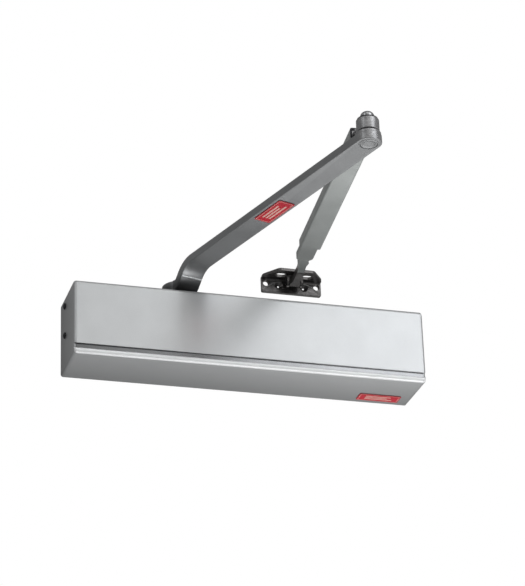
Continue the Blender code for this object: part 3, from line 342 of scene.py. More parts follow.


# Silver paint with painted shade: the colour darkens towards the back, to 60% at y = 0.
SILVER_PAINT_AND_SHADE = surface("silver_paint", (0.50, 0.51, 0.515), 0.65, 0.29, 0.03, 1200.0, 0.000005,
                 painted_shade=("Y", 0.0, -50.0, 0.6), sheen=0.015)
# Painted highlight: a pale colour for the cover's lip, standing for the highlight along it.
LIP_HIGHLIGHT = surface("painted_lip_highlight", (0.86, 0.87, 0.875), 0.45, 0.48, 0.03, 1200.0, 0.000005,
              sheen=0.015)
# Painted shade for the recess under the cover's front: darker than the silver paint, and darker still
# towards the left end.
RECESS_SHADE = surface("shaded_recess", (0.34, 0.345, 0.355), 0.8, 0.22, 0.06, 1200.0, 0.000005,
                 painted_shade=("X", -150.0, 90.0, 0.4))
# Arm paint with painted shade: the colour darkens below z = 50.5 mm, down to 22% at z = 43 mm, at the hub
# and the gooseneck's lower bend.
ARM_PAINT_AND_HUB_SHADE = surface("arm_paint", (0.28, 0.285, 0.29), 0.6, 0.33, 0.07, 1500.0, 0.00002, wear=0.2,
                    painted_shade=("Z", 43.0, 50.5, 0.22))
FORE_PAINT = surface("forearm_paint", (0.44, 0.46, 0.45), 0.6, 0.38, 0.06, 1500.0, 0.00002, wear=0.15)
# Painted highlight: a pale colour for the ridge across the arm's riser, standing for a highlight line.
RIDGE_HIGHLIGHT = surface("painted_ridge_highlight", (0.85, 0.87, 0.88), 0.5, 0.3, 0.05, 1500.0, 0.00001)
KNUCKLE_CAST = surface("painted_casting", (0.37, 0.37, 0.375), 0.8, 0.29, 0.2, 900.0, 0.00014,
                       wear=0.2, blotch=160.0)
BODY_CAST = surface("body_casting_paint", (0.17, 0.175, 0.18), 0.5, 0.55, 0.14, 700.0, 0.00016,
                    wear=0.2, blotch=70.0)
GUNMETAL = surface("gunmetal", (0.105, 0.10, 0.098), 0.75, 0.3, 0.25, 1100.0, 0.00006, wear=0.5,
                   blotch=220.0)
# Painted highlight: a pale colour for the beads along the shoe's pad, standing for a highlight line.
SHOE_BEAD_HIGHLIGHT = surface("painted_shoe_bead_highlight", (0.42, 0.42, 0.41), 0.8, 0.3, 0.15, 1100.0, 0.00002)
STEEL = surface("machined_steel", (0.45, 0.455, 0.46), 1.0, 0.28, 0.06, 1500.0, 0.00001)
BRIGHT = surface("zinc_plate", (0.42, 0.425, 0.43), 1.0, 0.16, 0.05, 1800.0, 0.00001)
DARK = surface("black_oxide", (0.022, 0.022, 0.025), 0.6, 0.4, 0.15, 1500.0, 0.00002, wear=0.2)
BRASS = surface("brass", (0.60, 0.45, 0.21), 1.0, 0.27, 0.06, 1600.0, 0.00001)
RUBBER = surface("seal_rubber", (0.022, 0.022, 0.023), 0.0, 0.62, 0.12, 1300.0, 0.00003)
WIRE = surface("spring_wire", (0.25, 0.25, 0.26), 1.0, 0.33, 0.10, 2200.0, 0.00002,
               stretch=(1.0, 0.2, 0.2))
RED = surface("label_red", (0.50, 0.004, 0.022), 0.0, 0.45, 0.08, 1900.0, 0.00001, shine=0.25)
PALE = surface("label_pale", (0.72, 0.42, 0.36), 0.0, 0.45, 0.05, 1900.0, 0.00001, shine=0.25)


# ---- shape tools
def arc(centre, radius, start, end, steps):
    """Points on an arc, angles in degrees."""
    points = []
    for step in range(steps + 1):
        angle = math.radians(start + (end - start) * step / steps)
        points.append((centre[0] + radius * math.cos(angle), centre[1] + radius * math.sin(angle)))
    return points


def soften(points, radius, closed=False, steps=4):
    """Round the corners of a polyline with short curves."""
    corners = [Vector(point) for point in points]
    count = len(corners)
    made = []
    for index, corner in enumerate(corners):
        if not closed and index in (0, count - 1):
            made.append(tuple(corner))
            continue
        before = corners[index - 1] - corner
        after = corners[(index + 1) % count] - corner
        reach = min(radius, 0.45 * before.length, 0.45 * after.length)
        first = corner + before.normalized() * reach
        last = corner + after.normalized() * reach
        for step in range(steps + 1):
            part = step / steps
            spot = first * (1 - part) ** 2 + corner * 2 * part * (1 - part) + last * part**2
            made.append(tuple(spot))
    return made


def revolve(profile, closed=False, segments=72):
    """Turn (radius, height) points about Z. An open profile is closed on the axis."""
    if not closed:
        profile = [(0.0, profile[0][1]), *profile, (0.0, profile[-1][1])]
    bm = bmesh.new()
    rows = []
    for radius, height in profile:
        count = 1 if radius == 0.0 else segments
        row = []
        for step in range(count):
            angle = 2 * math.pi * step / segments
            row.append(bm.verts.new((radius * math.cos(angle), radius * math.sin(angle), height)))
        rows.append(row)
    pairs = list(zip(rows, rows[1:]))
    if closed:
        pairs.append((rows[-1], rows[0]))
    for low, high in pairs:
        for step in range(segments):
            after = (step + 1) % segments
            corners = [low[step % len(low)], low[after % len(low)]]
            corners += [high[after % len(high)], high[step % len(high)]]
            unique = list(dict.fromkeys(corners))
            if len(unique) > 2:
                bm.faces.new(unique)
    return bm


def ring(inner, outer, low, high, edge=0.25):
    return revolve(soften([(inner, low), (outer, low), (outer, high), (inner, high)], edge, True, 3), True)


def loft(sections, closed=False):
    """Join sections of points one after another. An open run gets a face at each end."""
    bm = bmesh.new()
    rows = [[bm.verts.new(point) for point in section] for section in sections]
    pairs = list(zip(rows, rows[1:]))
    if closed:
        pairs.append((rows[-1], rows[0]))
    for first, second in pairs:
        for side in range(len(first)):
            after = (side + 1) % len(first)
            bm.faces.new([first[side], first[after], second[after], second[side]])
    if not closed:
        bm.faces.new(rows[0])
        bm.faces.new(rows[-1])
    return bm


def extrude(outline, low, high, plane="XY"):
    """Extrude a closed outline. Plane XY goes up Z, YZ goes along X, XZ goes along Y."""
    bm = bmesh.new()
    ends = []
    for level in (low, high):
        row = []
        for a, b in outline:
            point = {"XY": (a, b, level), "YZ": (level, a, b), "XZ": (a, level, b)}[plane]
            row.append(bm.verts.new(point))
        ends.append(row)
    bm.faces.new(ends[0])
    bm.faces.new(ends[1])
    for step in range(len(outline)):
        after = (step + 1) % len(outline)
        bm.faces.new([ends[0][step], ends[0][after], ends[1][after], ends[1][step]])
    return bm


def rectangle(low, high):
    return [(low[0], low[1]), (high[0], low[1]), (high[0], high[1]), (low[0], high[1])]


def block(low, high):
    return extrude(rectangle(low, high), low[2], high[2])


def slot_outline(half_length, half_width, centre=0.0):
    right = arc((centre + half_length - half_width, 0), half_width, -90, 90, 16)
    return right + arc((centre + half_width - half_length, 0), half_width, 90, 270, 16)


def rod(radius, low, high, segments=48):
    return revolve([(radius, low), (radius, high)], segments=segments)


def hexagon(radius, low, high):
    return extrude(arc((0, 0), radius, 0, 300, 5), low, high)


def along(axis, spot=(0.0, 0.0, 0.0)):
    """A placing that lays Z along X or Y, at a spot in millimetres."""
    turn = {"X": Matrix.Rotation(math.pi / 2, 4, "Y"), "Y": Matrix.Rotation(-math.pi / 2, 4, "X")}
    return Matrix.Translation(spot) @ turn.get(axis, ROW)


def moved(bm, place):
    bmesh.ops.transform(bm, matrix=place, verts=bm.verts)
    return bm


def in_scene(name, data):
    made = bpy.data.objects.new(name, data)
    bpy.context.scene.collection.objects.link(made)
    return made


def make(name, bm, place=ROW):
    """A bmesh in millimetres in a local frame becomes an object in metres in the row frame."""
    bmesh.ops.remove_doubles(bm, verts=bm.verts, dist=1e-4)
    bmesh.ops.recalc_face_normals(bm, faces=bm.faces)
    bmesh.ops.transform(bm, matrix=place @ Matrix.Scale(MM, 4), verts=bm.verts)
    mesh = bpy.data.meshes.new(name)
    bm.to_mesh(mesh)
    bm.free()
    return in_scene(name, mesh)


def settle(piece):
    """Apply a piece's modifiers."""
    bpy.context.view_layer.update()
    graph = bpy.context.evaluated_depsgraph_get()
    settled = bpy.data.meshes.new_from_object(piece.evaluated_get(graph))
    before = piece.data
    piece.modifiers.clear()
    piece.data = settled
    bpy.data.meshes.remove(before)


def combine(piece, tools, operation, place):
    """Cut bmeshes out of a piece, or weld them on, one after another."""
    for bm in tools:
        tool = make("tool", bm, place)
        step = piece.modifiers.new("step", "BOOLEAN")
        step.operation = operation
        step.solver = "EXACT"
        step.object = tool
        settle(piece)
        bpy.data.objects.remove(tool, do_unlink=True)


def cut(piece, tools, place=ROW):
    combine(piece, tools, "DIFFERENCE", place)


def weld(piece, tools, place=ROW):
    combine(piece, tools, "UNION", place)


def edge_bevel(piece, width, segments=3, angle=35.0):
    step = piece.modifiers.new("edges", "BEVEL")
    step.width = width * MM
    step.segments = segments
    step.limit_method = "ANGLE"
    step.angle_limit = math.radians(angle)
    step.harden_normals = True
    step.use_clamp_overlap = True
    settle(piece)


def cast_skin(piece, voxel, passes):
    """Give a welded shape the rounded corners of a casting."""
    step = piece.modifiers.new("skin", "REMESH")
    step.mode = "VOXEL"
    step.voxel_size = voxel * MM
    step = piece.modifiers.new("round", "SMOOTH")
    step.factor = 0.5
    step.iterations = passes
    settle(piece)


def dress(piece, material, body, slot, *nodes):
    """Shade a finished piece and hand it to its CAD body."""
    piece.data.materials.clear()
    piece.data.materials.append(material)
    piece.data.shade_smooth()
    piece.data.set_sharp_from_angle(angle=SHARP_ANGLE)
    step = piece.modifiers.new("normals", "WEIGHTED_NORMAL")
    step.keep_sharp = True
    step.weight = 100
    settle(piece)
    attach(piece, body)
    if nodes:
        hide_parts(*nodes)


def turned(node, bm, place, material, body, slot, tools=()):
    """A lathe-turned piece that replaces its CAD node, with tools cut out of it."""
    piece = make(node + "_turned", bm, place)
    cut(piece, tools, place)
    dress(piece, material, body, slot, node)


def second_finish(piece, material, chosen):
    """Give the faces that a test on centre and normal chooses a second material."""
    piece.data.materials.append(material)
    for face in piece.data.polygons:
        if chosen(face.center, face.normal):
            face.material_index = len(piece.data.materials) - 1


# ---- cover
def cover_outside():
    """The cover's outer section in (y, z), from the back at the top to the back below."""
    lead_in, slope, corner = 6.0, 0.7, 0.4
    points = [(0.0, HALF_H)]
    points += arc((FRONT + EDGE_RADIUS, HALF_H - EDGE_RADIUS), EDGE_RADIUS, 90, 180, 8)
    bottom = FRONT + GROOVE_DEPTH
    points += soften([(FRONT, HALF_H - lead_in), (FRONT, GROOVE_TOP), (bottom, GROOVE_TOP - slope),
                      (bottom, GROOVE_BOTTOM)], corner)[1:-1]
    points += arc((bottom, GROOVE_BOTTOM - GROOVE_DEPTH), GROOVE_DEPTH, 90, 180, 8)
    points += arc((FRONT + LIP_RADIUS, -HALF_H + LIP_RADIUS), LIP_RADIUS, 180, 270, 14)
    points.append((0.0, -HALF_H))
    return points


def shade_front(piece):
    """Paint shade into the recess of the cover's front and a highlight onto the lip below it."""
    near, skin = 0.1, 0.15

    def in_recess(middle, normal):
        in_band = (GROOVE_BOTTOM - near) * MM < middle.z < (GROOVE_TOP + near) * MM
        return in_band and (FRONT + skin) * MM < middle.y < (FRONT + GROOVE_DEPTH + near) * MM
    second_finish(piece, RECESS_SHADE, in_recess)

    # Painted highlight: the lip's faces below the recess take the pale colour.
    def on_lip(middle, normal):
        return middle.z < GROOVE_BOTTOM * MM and normal.y < -0.35 and -0.85 < normal.z < 0.8
    second_finish(piece, LIP_HIGHLIGHT, on_lip)


def cover_shell():
    behind = FRONT + GROOVE_WALL
    wall = FRONT + COVER_WALL
    inside = [(0.0, -HALF_H + COVER_WALL), (behind, -HALF_H + COVER_WALL)]
    inside += [(behind, GROOVE_TOP), (wall, GROOVE_TOP + COVER_WALL)]
    inside += [(wall, HALF_H - COVER_WALL), (0.0, HALF_H - COVER_WALL)]
    end = HALF_L - END_PLATE - SEAM
    shell = make("cover_shell_formed", extrude(cover_outside() + inside, -end, end, "YZ"))
    x, y = SPINDLE.x / MM, SPINDLE.y / MM
    notch = arc((x, y), NOTCH_RADIUS, 180, 360, 40)
    notch += [(x + NOTCH_RADIUS, PAST), (x - NOTCH_RADIUS, PAST)]
    cut(shell, [extrude(notch, HALF_H - COVER_WALL - PAST, HALF_H + PAST)])
    dress(shell, SILVER_PAINT_AND_SHADE, "body", "cover", "cover_shell")
    shade_front(shell)


def end_plate(inner, outer, radius):
    """A plate with the cover's outline whose outer face has a rounded rim."""
    steps = 6
    outline = cover_outside()
    levels = [(inner, 0.0)]
    for step in range(steps + 1):
        angle = math.pi / 2 * step / steps
        along_x = outer - math.copysign(radius * (1 - math.sin(angle)), outer)
        levels.append((along_x, radius * (1 - math.cos(angle))))
    sections = []
    for x, inset in levels:
        squeeze_y, squeeze_z = 1 - inset / -FRONT, 1 - inset / HALF_H
        sections.append([(x, y * squeeze_y, z * squeeze_z) for y, z in outline])
    return loft(sections)


def cover_ends():
    for side, sign, screws in (("left", -1, (1, 2)), ("right", 1, (3, 4))):
        low, high = span("cover_end_" + side, 0)
        inner, outer = (high, low) if sign < 0 else (low, high)
        plate = make("cover_end_%s_formed" % side, end_plate(inner, outer, END_RADIUS))
        cut(plate, [moved(rod(SCREW_HOLE_RADIUS, low - PAST, high + PAST),
                          along("X", middle_yz("cover_screw_%d" % number))) for number in screws])
        dress(plate, SILVER_PAINT_AND_SHADE, "body", "cover", "cover_end_" + side)
        shade_front(plate)


def cover_screws():
    """Small button heads with a hexagon socket."""
    shank, rim, socket_radius, socket_depth = 1.8, 0.2, 1.35, 1.1
    face = HALF_L + GAP
    top = HALF_L + SCREW_HEAD_HEIGHT
    head = [(SCREW_HEAD_RADIUS, face)]
    for step in range(9):
        angle = math.radians(step * 8)
        rise = (SCREW_HEAD_HEIGHT - GAP - rim) * math.sin(angle)
        head.append((SCREW_HEAD_RADIUS * math.cos(angle), face + rim + rise))
    for number in range(1, 5):
        node = "cover_screw_%d" % number
        low, high = box_mm(node)
        sign = 1 if high.x > 0 else -1
        start = min(abs(low.x), abs(high.x))
        spot = middle_yz(node)
        profile = [(shank - 0.5, start), (shank, start + 0.6), (shank, face), *head]
        place = Matrix.Translation((0.0, spot[1] * MM, spot[2] * MM)) @ Matrix.Rotation(math.pi / 2, 4, "Y")
        bm = moved(revolve(profile, segments=40), Matrix.Scale(sign, 4, (0, 0, 1)))
        screw = make(node + "_head", bm, place)
        socket = moved(hexagon(socket_radius, sign * (top - socket_depth), sign * (top + PAST)), along("X"))
        cut(screw, [moved(socket, Matrix.Translation(spot))])
        dress(screw, DARK, "body", "steel", node)


# ---- body casting and its ends
def body_casting():
    inset, overlap, clear = 0.5, 4, 2
    at_bore = along("X", (0, BORE_Y, 0))
    at_pinion = along("Z", (SPINDLE.x / MM, SPINDLE.y / MM, 0))
    body = make("body_casting_cast", moved(rod(BARREL_RADIUS, -BARREL_HALF, BARREL_HALF, 96), at_bore))
    corner = [(FOOT_END, FOOT_HALF), (FOOT_START, FOOT_HALF), (FOOT_START, SPINE_HALF)]
    backbone = corner + [(-x, z) for x, z in reversed(corner)] + [(-x, -z) for x, z in corner]
    backbone += [(x, -z) for x, z in reversed(corner)]
    tools = [extrude(backbone, -SPINE_DEPTH, 0.0, "XZ"),
             moved(rod(PINION_BOSS, -PINION_BOSS_HALF, PINION_BOSS_HALF), at_pinion)]
    for sign in (-1, 1):
        low, high = sorted((sign * (FOOT_END - inset), sign * (FOOT_START + inset)))
        tools.append(block((low, -FOOT_DEPTH, -FOOT_HALF + inset),
                           (high, -SPINE_DEPTH + overlap, FOOT_HALF - inset)))
    bosses = []
    for name in VALVES:
        sign = 1 if box_mm(name + "_valve")[1].x > 0 else -1
        near, far = sorted((sign * (BARREL_HALF - VALVE_BOSS_LENGTH), sign * (BARREL_HALF - inset)))
        spot = middle_yz(name + "_valve")
        tools.append(moved(rod(VALVE_BOSS_RADIUS, near, far), along("X", spot)))
        bosses.append((sign, spot))
    weld(body, tools)
    cast_skin(body, voxel=1.0, passes=6)
    holes = [moved(rod(BORE_RADIUS, -FOOT_END - clear, FOOT_END + clear, 96), at_bore),
             moved(rod(PINION_BORE, -PINION_BOSS_HALF - clear, PINION_BOSS_HALF + clear, 64), at_pinion)]
    for sign, spot in bosses:
        near, far = sorted((sign * (BARREL_HALF - VALVE_BORE_DEPTH), sign * (BARREL_HALF + clear)))
        holes.append(moved(rod(VALVE_BORE_RADIUS, near, far, 32), along("X", spot)))
    for side in (-1, 1):
        for up in (-1, 1):
            spot = (side * MOUNT_HOLE[0], 0.0, up * MOUNT_HOLE[1])
            holes.append(moved(rod(MOUNT_HOLE_RADIUS, -FOOT_DEPTH - clear, clear, 32), along("Y", spot)))
    cut(body, holes)
    dress(body, BODY_CAST, "body", "casting", "body_casting")


def end_plugs():
    """Both plugs have a seal groove; the left has a key socket, the right lets the screw through."""
    radius = BORE_RADIUS - GAP
    groove, mouth_half, floor_half = 15.2, 1.75, 1.7
    key_radius, passage = 6.0, 4.4
    for side, sign in (("left", -1), ("right", 1)):
        inner, outer = sorted(abs(value) for value in span(side + "_end_plug", 0))
        seal = sum(abs(value) for value in span(side + "_plug_seal", 0)) / 2
        profile = [(NEAR_AXIS, inner), (radius, inner), (radius, seal - mouth_half),
                   (groove, seal - floor_half), (groove, seal + floor_half),
                   (radius, seal + mouth_half), (radius, outer), (NEAR_AXIS, outer)]
        bm = moved(revolve(soften(profile, 0.5, False, 3), segments=96), Matrix.Scale(sign, 4, (0, 0, 1)))
        if side == "left":
            tool = hexagon(key_radius, -outer - PAST, -BARREL_HALF - 0.5)
        else:
            tool = rod(passage, inner - PAST, outer + PAST)
        turned(side + "_end_plug", bm, BORE, STEEL, "body", "steel", [tool])


def power_screw():
    point, thread, head = 3.0, 4.0, 7.0
    key_radius, key_depth = 3.2, 4.5
    low, high = span("power_screw", 0)
    under = high - 5.7
    profile = [(NEAR_AXIS, low), (point, low), (thread, low + 1.5), (thread, under),
               (head, under + 0.1), (head, high), (NEAR_AXIS, high)]
    turned("power_screw", revolve(soften(profile, 0.6), segments=64), BORE, STEEL, "power_screw", "steel",
           [hexagon(key_radius, high - key_depth, high + PAST)])


def spindle_top():
    """Bearing cap and lip seal, seen through the notch in the cover."""
    at = Matrix.Translation(SPINDLE)
    low, high = span("upper_bearing_cap")
    seal_low, seal_high = span("spindle_seal")
    inner, outer, rim, well = 7.5, 11.7, 14.6, 10.9
    outer_top, rim_low = 30.2, 30.3
    hole, hole_depth, hole_circle = 1.1, 1.2, 12.8
    floor_z = seal_low - GAP
    profile = [(inner, low), (outer, low), (outer, outer_top), (rim, rim_low), (rim, high),
               (well, high), (well, floor_z), (inner, floor_z)]
    spanner_holes = []
    for step in range(3):
        angle = math.radians(90 + 120 * step)
        spot = (hole_circle * math.cos(angle), hole_circle * math.sin(angle), 0)
        spanner_holes.append(moved(rod(hole, high - hole_depth, high + PAST, 24), Matrix.Translation(spot)))
    turned("upper_bearing_cap", revolve(soften(profile, 0.5, True, 3), True, 80), at, STEEL, "body",
           "steel", spanner_holes)
    lip = [(inner, seal_low), (10.6, seal_low), (10.6, seal_high), (9.6, seal_high),
           (8.8, seal_high - 1.6), (8.0, seal_high - 0.4), (inner, seal_high - 1.0)]
    seal = make("spindle_seal_moulded", revolve(soften(lip, 0.35, True, 3), True, 80), at)
    dress(seal, RUBBER, "body", "rubber", "spindle_seal")


# ---- main arm
def bend_point(travel, low_side, start_z, end_z):
    """Centre line of the gooseneck, on its lower or its upper arc."""
    if low_side:
        return (BEND_START + BEND_LOW_RADIUS * math.sin(travel),
                start_z + BEND_LOW_RADIUS * (1 - math.cos(travel)))
    arcs_rise = (BEND_LOW_RADIUS + BEND_HIGH_RADIUS) * (1 - math.cos(BEND_ANGLE))
    ramp_run = (end_z - start_z - arcs_rise) / math.sin(BEND_ANGLE) * math.cos(BEND_ANGLE)
    end = BEND_START + (BEND_LOW_RADIUS + BEND_HIGH_RADIUS) * math.sin(BEND_ANGLE) + ramp_run
    return (end - BEND_HIGH_RADIUS * math.sin(travel),
            end_z - BEND_HIGH_RADIUS * (1 - math.cos(travel)))


def arm_stations(hub_low, bar_low):
    """(along, height, slope, half thickness, half width) from the hub's tip to the elbow's."""
    stations = []
    thick_low, thick_high = (HUB_TOP - hub_low) / 2, ARM_THICKNESS / 2
    start_z, end_z = (HUB_TOP + hub_low) / 2, bar_low + thick_high
    stop = math.degrees(math.atan2(ARM_HALF, math.sqrt(HUB_RADIUS**2 - ARM_HALF**2)))
    for x, half in arc((0, 0), HUB_RADIUS, 178, stop, 40):
        stations.append((x, start_z, 0.0, thick_low, half))
    steps = 18
    for step in range(1, steps + 1):
        part = step / steps
        x, z = bend_point(BEND_ANGLE * part, True, start_z, end_z)
        thick = thick_low + (thick_high - thick_low) * (1 - RISER_EXTRA) * part
        stations.append((x, z, BEND_ANGLE * part, thick, ARM_HALF))
    for step in range(steps + 1):
        part = 1 - step / steps
        x, z = bend_point(BEND_ANGLE * part, False, start_z, end_z)
        thick = thick_high + (thick_low - thick_high) * RISER_EXTRA * part
        stations.append((x, z, BEND_ANGLE * part, thick, ARM_HALF))
    for x, half in arc((MAIN_LENGTH, 0), ARM_HALF, 90, 2, 30):
        stations.append((x, end_z, 0.0, thick_high, half))
    return stations


def ridge_spot(hub_low, bar_low):
    """The line across the riser where the upper bend starts, on the arm's underside."""
    start_z, end_z = (HUB_TOP + hub_low) / 2, bar_low + ARM_THICKNESS / 2
    x, z = bend_point(BEND_ANGLE, False, start_z, end_z)
    thick = ARM_THICKNESS / 2 + ((HUB_TOP - hub_low) / 2 - ARM_THICKNESS / 2) * RISER_EXTRA
    out = thick - RIDGE_RADIUS + RIDGE_RISE
    return x + out * math.sin(BEND_ANGLE), 0.0, z - out * math.cos(BEND_ANGLE)


def arm_section(half, thick):
    """The arm's flat section with rounded edges, in (across, up)."""
    edge = min(ARM_EDGE, half * 0.9)
    return soften(rectangle((-half, -thick), (half, thick)), edge, True, 5)


def main_arm():
    hub_low, boss_top = span("main_arm")
    bar_low = span("elbow_rivet")[0]
    sections = []
    for x, z, slope, thick, half in arm_stations(hub_low, bar_low):
        up = Vector((-math.sin(slope), 0.0, math.cos(slope)))
        sections.append([Vector((x, side, z)) + up * lift for side, lift in arm_section(half, thick)])
    arm = make("main_arm_forged", loft(sections), ARM)
    bar_top = bar_low + ARM_THICKNESS
    boss = soften([(ELBOW_BOSS + 0.25, bar_top - 2.0), (ELBOW_BOSS, bar_top + 0.6),
                   (ELBOW_BOSS, boss_top), (NEAR_AXIS, boss_top)], 0.6)
    rim_inner = RIVET_HEAD + GAP - 0.2
    rim = [(rim_inner, bar_low + 1.0), (rim_inner, bar_low - RIM_HEIGHT),
           (RIVET_HEAD + 1.3, bar_low - RIM_HEIGHT), (RIVET_HEAD + 1.7, bar_low + 1.0)]
    weld(arm, [revolve(boss, segments=80), revolve(soften(rim, 0.2, True), True, 80)], AT_ELBOW)
    ridge = ridge_spot(hub_low, bar_low)
    reach = ARM_HALF - 0.6
    weld(arm, [moved(rod(RIDGE_RADIUS, -reach, reach, 24), along("Y", ridge))], ARM)
    half = SQUARE_HALF + GAP
    cut(arm, [block((-half, -half, hub_low - PAST), (half, half, HUB_TOP + PAST))], ARM)
    seat_top = bar_low + RIVET_HEAD_THICKNESS + GAP
    well, shank = RIVET_HEAD + GAP, RIVET_RADIUS + GAP
    seat = [(well + 0.2, bar_low - PAST), (well + 0.2, bar_low - 0.1), (well, bar_low + 0.3),
            (well, seat_top), (shank, seat_top), (shank, boss_top + PAST)]
    cut(arm, [revolve(seat)], AT_ELBOW)
    dress(arm, ARM_PAINT_AND_HUB_SHADE, "main_arm", "arm_paint", "main_arm")

    def on_elbow_end(middle, normal):
        beyond = (middle.xy - ELBOW.xy).length < (ELBOW_BOSS + 0.5) * MM + 0.001
        outward = normal.xy.dot((middle.xy - ELBOW.xy).normalized()) > 0.3
        return beyond and outward and normal.z > -0.5
    second_finish(arm, KNUCKLE_CAST, on_elbow_end)
    spot = ARM @ (Vector(ridge) * MM)
    run = ARM.to_3x3().col[0]

    # Painted highlight: the ridge's faces on the riser's underside take the pale colour.
    def on_ridge(middle, normal):
        off = middle - spot
        away = math.hypot(off.dot(run), off.z)
        return 0.8 * RIDGE_RADIUS * MM < away < 1.05 * RIDGE_RADIUS * MM and off.z < 0.0002
    second_finish(arm, RIDGE_HIGHLIGHT, on_ridge)


def arm_fasteners():
    turned("hub_washer", ring(2.9, 8.6, *span("hub_washer")), ARM, BRIGHT, "main_arm", "steel")
    thread, head, key_radius, key_depth = 2.3, 5.2, 2.6, 2.6
    low, high = span("hub_screw")
    under = high - 3.6 + GAP
    profile = [(1.8, low), (thread, low + 0.6), (thread, under), (head, under + 0.1),
               (head, high - 0.8), (4.6, high), (NEAR_AXIS, high)]
    turned("hub_screw", revolve(soften(profile, 0.4)), ARM, DARK, "main_arm", "steel",
           [hexagon(key_radius, high - key_depth, high + PAST)])
    low, high = span("elbow_rivet")
    head_top = low + RIVET_HEAD_THICKNESS
    full = RIVET_HEAD + GAP - 0.08
    dish = low + 0.1
    profile = [(NEAR_AXIS, dish), (4.6, dish), (5.4, low - 0.2), (full, low - 0.25), (full, head_top),
               (RIVET_RADIUS, head_top), (RIVET_RADIUS, high)]
    turned("elbow_rivet", revolve(soften(profile, 0.45)), AT_ELBOW, ARM_PAINT_AND_HUB_SHADE, "main_arm", "rivet")
    for node, outer in (("elbow_lower_washer", 8.2), ("elbow_upper_washer", 8.4)):
        turned(node, ring(RIVET_RADIUS + GAP, outer, *span(node)), AT_ELBOW, DARK, "main_arm", "dark_steel")
    low, high = span("elbow_cap_nut")
    bore, radius, dome = 4.3, 5.6, low + 2.4
    profile = [(bore, low + 2.8), (bore, low), (radius, low), (radius, dome)]
    for step in range(1, 15):
        angle = math.radians(step * 6)
        profile.append((radius * math.cos(angle), dome + (high - dome) * math.sin(angle)))
    turned("elbow_cap_nut", revolve(soften(profile, 0.3)), AT_ELBOW, BRIGHT, "main_arm", "cap_nut")


# ---- forearm
def elbow_knuckle():
    """A round eye with a neck and a shank that runs into the forearm tube."""
    low = span("elbow_knuckle")[0]
    tube_low, tube_high = span("forearm_tube")
    inner_low = tube_low + TUBE_WALL + GAP
    inner_high = tube_high - TUBE_WALL - GAP
    eye_top = span("elbow_bush")[1]
    neck_top = eye_top - 0.3
    profile = [(NEAR_AXIS, low), (KNUCKLE_RADIUS, low), (KNUCKLE_RADIUS, eye_top), (NEAR_AXIS, eye_top)]
    eye = make("elbow_knuckle_cast", revolve(soften(profile, 0.9), segments=96), FORE)
    blocks = (
        # half width, low, high, corner radius, start, end
        (NECK_HALF, tube_low + 0.2, neck_top, 1.2, 5.0, TUBE_START - 0.5),
        (NECK_HALF - SET_IN, inner_low + 2 * SET_IN, neck_top - 2 * SET_IN, 0.6, 14.0, SHANK_END),
        (BAR_HALF, inner_low + SET_IN, inner_high, 0.6, TUBE_START + 1.0, SHANK_END - SET_IN),
        (BAR_HALF, inner_low, neck_top - SET_IN, 1.0, COLLAR_START, TUBE_START - 0.3),
    )
    for half, bottom, top, corner, start, end in blocks:
        section = soften(rectangle((-half, bottom), (half, top)), corner, True)
        weld(eye, [extrude(section, start, end, "YZ")], FORE)
    cut(eye, [rod(KNUCKLE_EYE, low - PAST, eye_top + PAST, 64)], FORE)
    dress(eye, KNUCKLE_CAST, "forearm", "knuckle", "elbow_knuckle")
    turned("elbow_bush", ring(4.3, 5.1, *span("elbow_bush"), 0.15), FORE, BRASS, "forearm", "brass")


def forearm_tube():
    low, high = span("forearm_tube")
    outline = soften(rectangle((-TUBE_HALF, low), (TUBE_HALF, high)), TUBE_CORNER, True, 6)
    tube = make("forearm_tube_formed", extrude(outline, TUBE_START, TUBE_END, "YZ"), FORE)
    half = TUBE_HALF - TUBE_WALL
    inside = soften(rectangle((-half, low + TUBE_WALL), (half, high - TUBE_WALL)), 0.5, True)
    reach, wide, beyond = CLAMP_SLOT
    slot = extrude(slot_outline(reach, wide, CLAMP_ALONG + beyond), high - TUBE_WALL - PAST, high + PAST)
    cut(tube, [extrude(inside, TUBE_START - PAST, TUBE_END + PAST, "YZ"), slot], FORE)
    edge_bevel(tube, 0.3, 2, 50.0)
    dress(tube, FORE_PAINT, "forearm", "arm_paint", "forearm_tube")
    across = FORE.to_3x3().col[1]

    # Painted shade: the faces inside the tube take the black oxide colour, standing for the shade in its
    # bore.
    def in_bore(middle, normal):
        within = (low + TUBE_WALL - 0.05) * MM < middle.z < (high - TUBE_WALL + 0.05) * MM
        return within and abs((middle - ELBOW).dot(across)) < (half + 0.05) * MM
    second_finish(tube, DARK, in_bore)


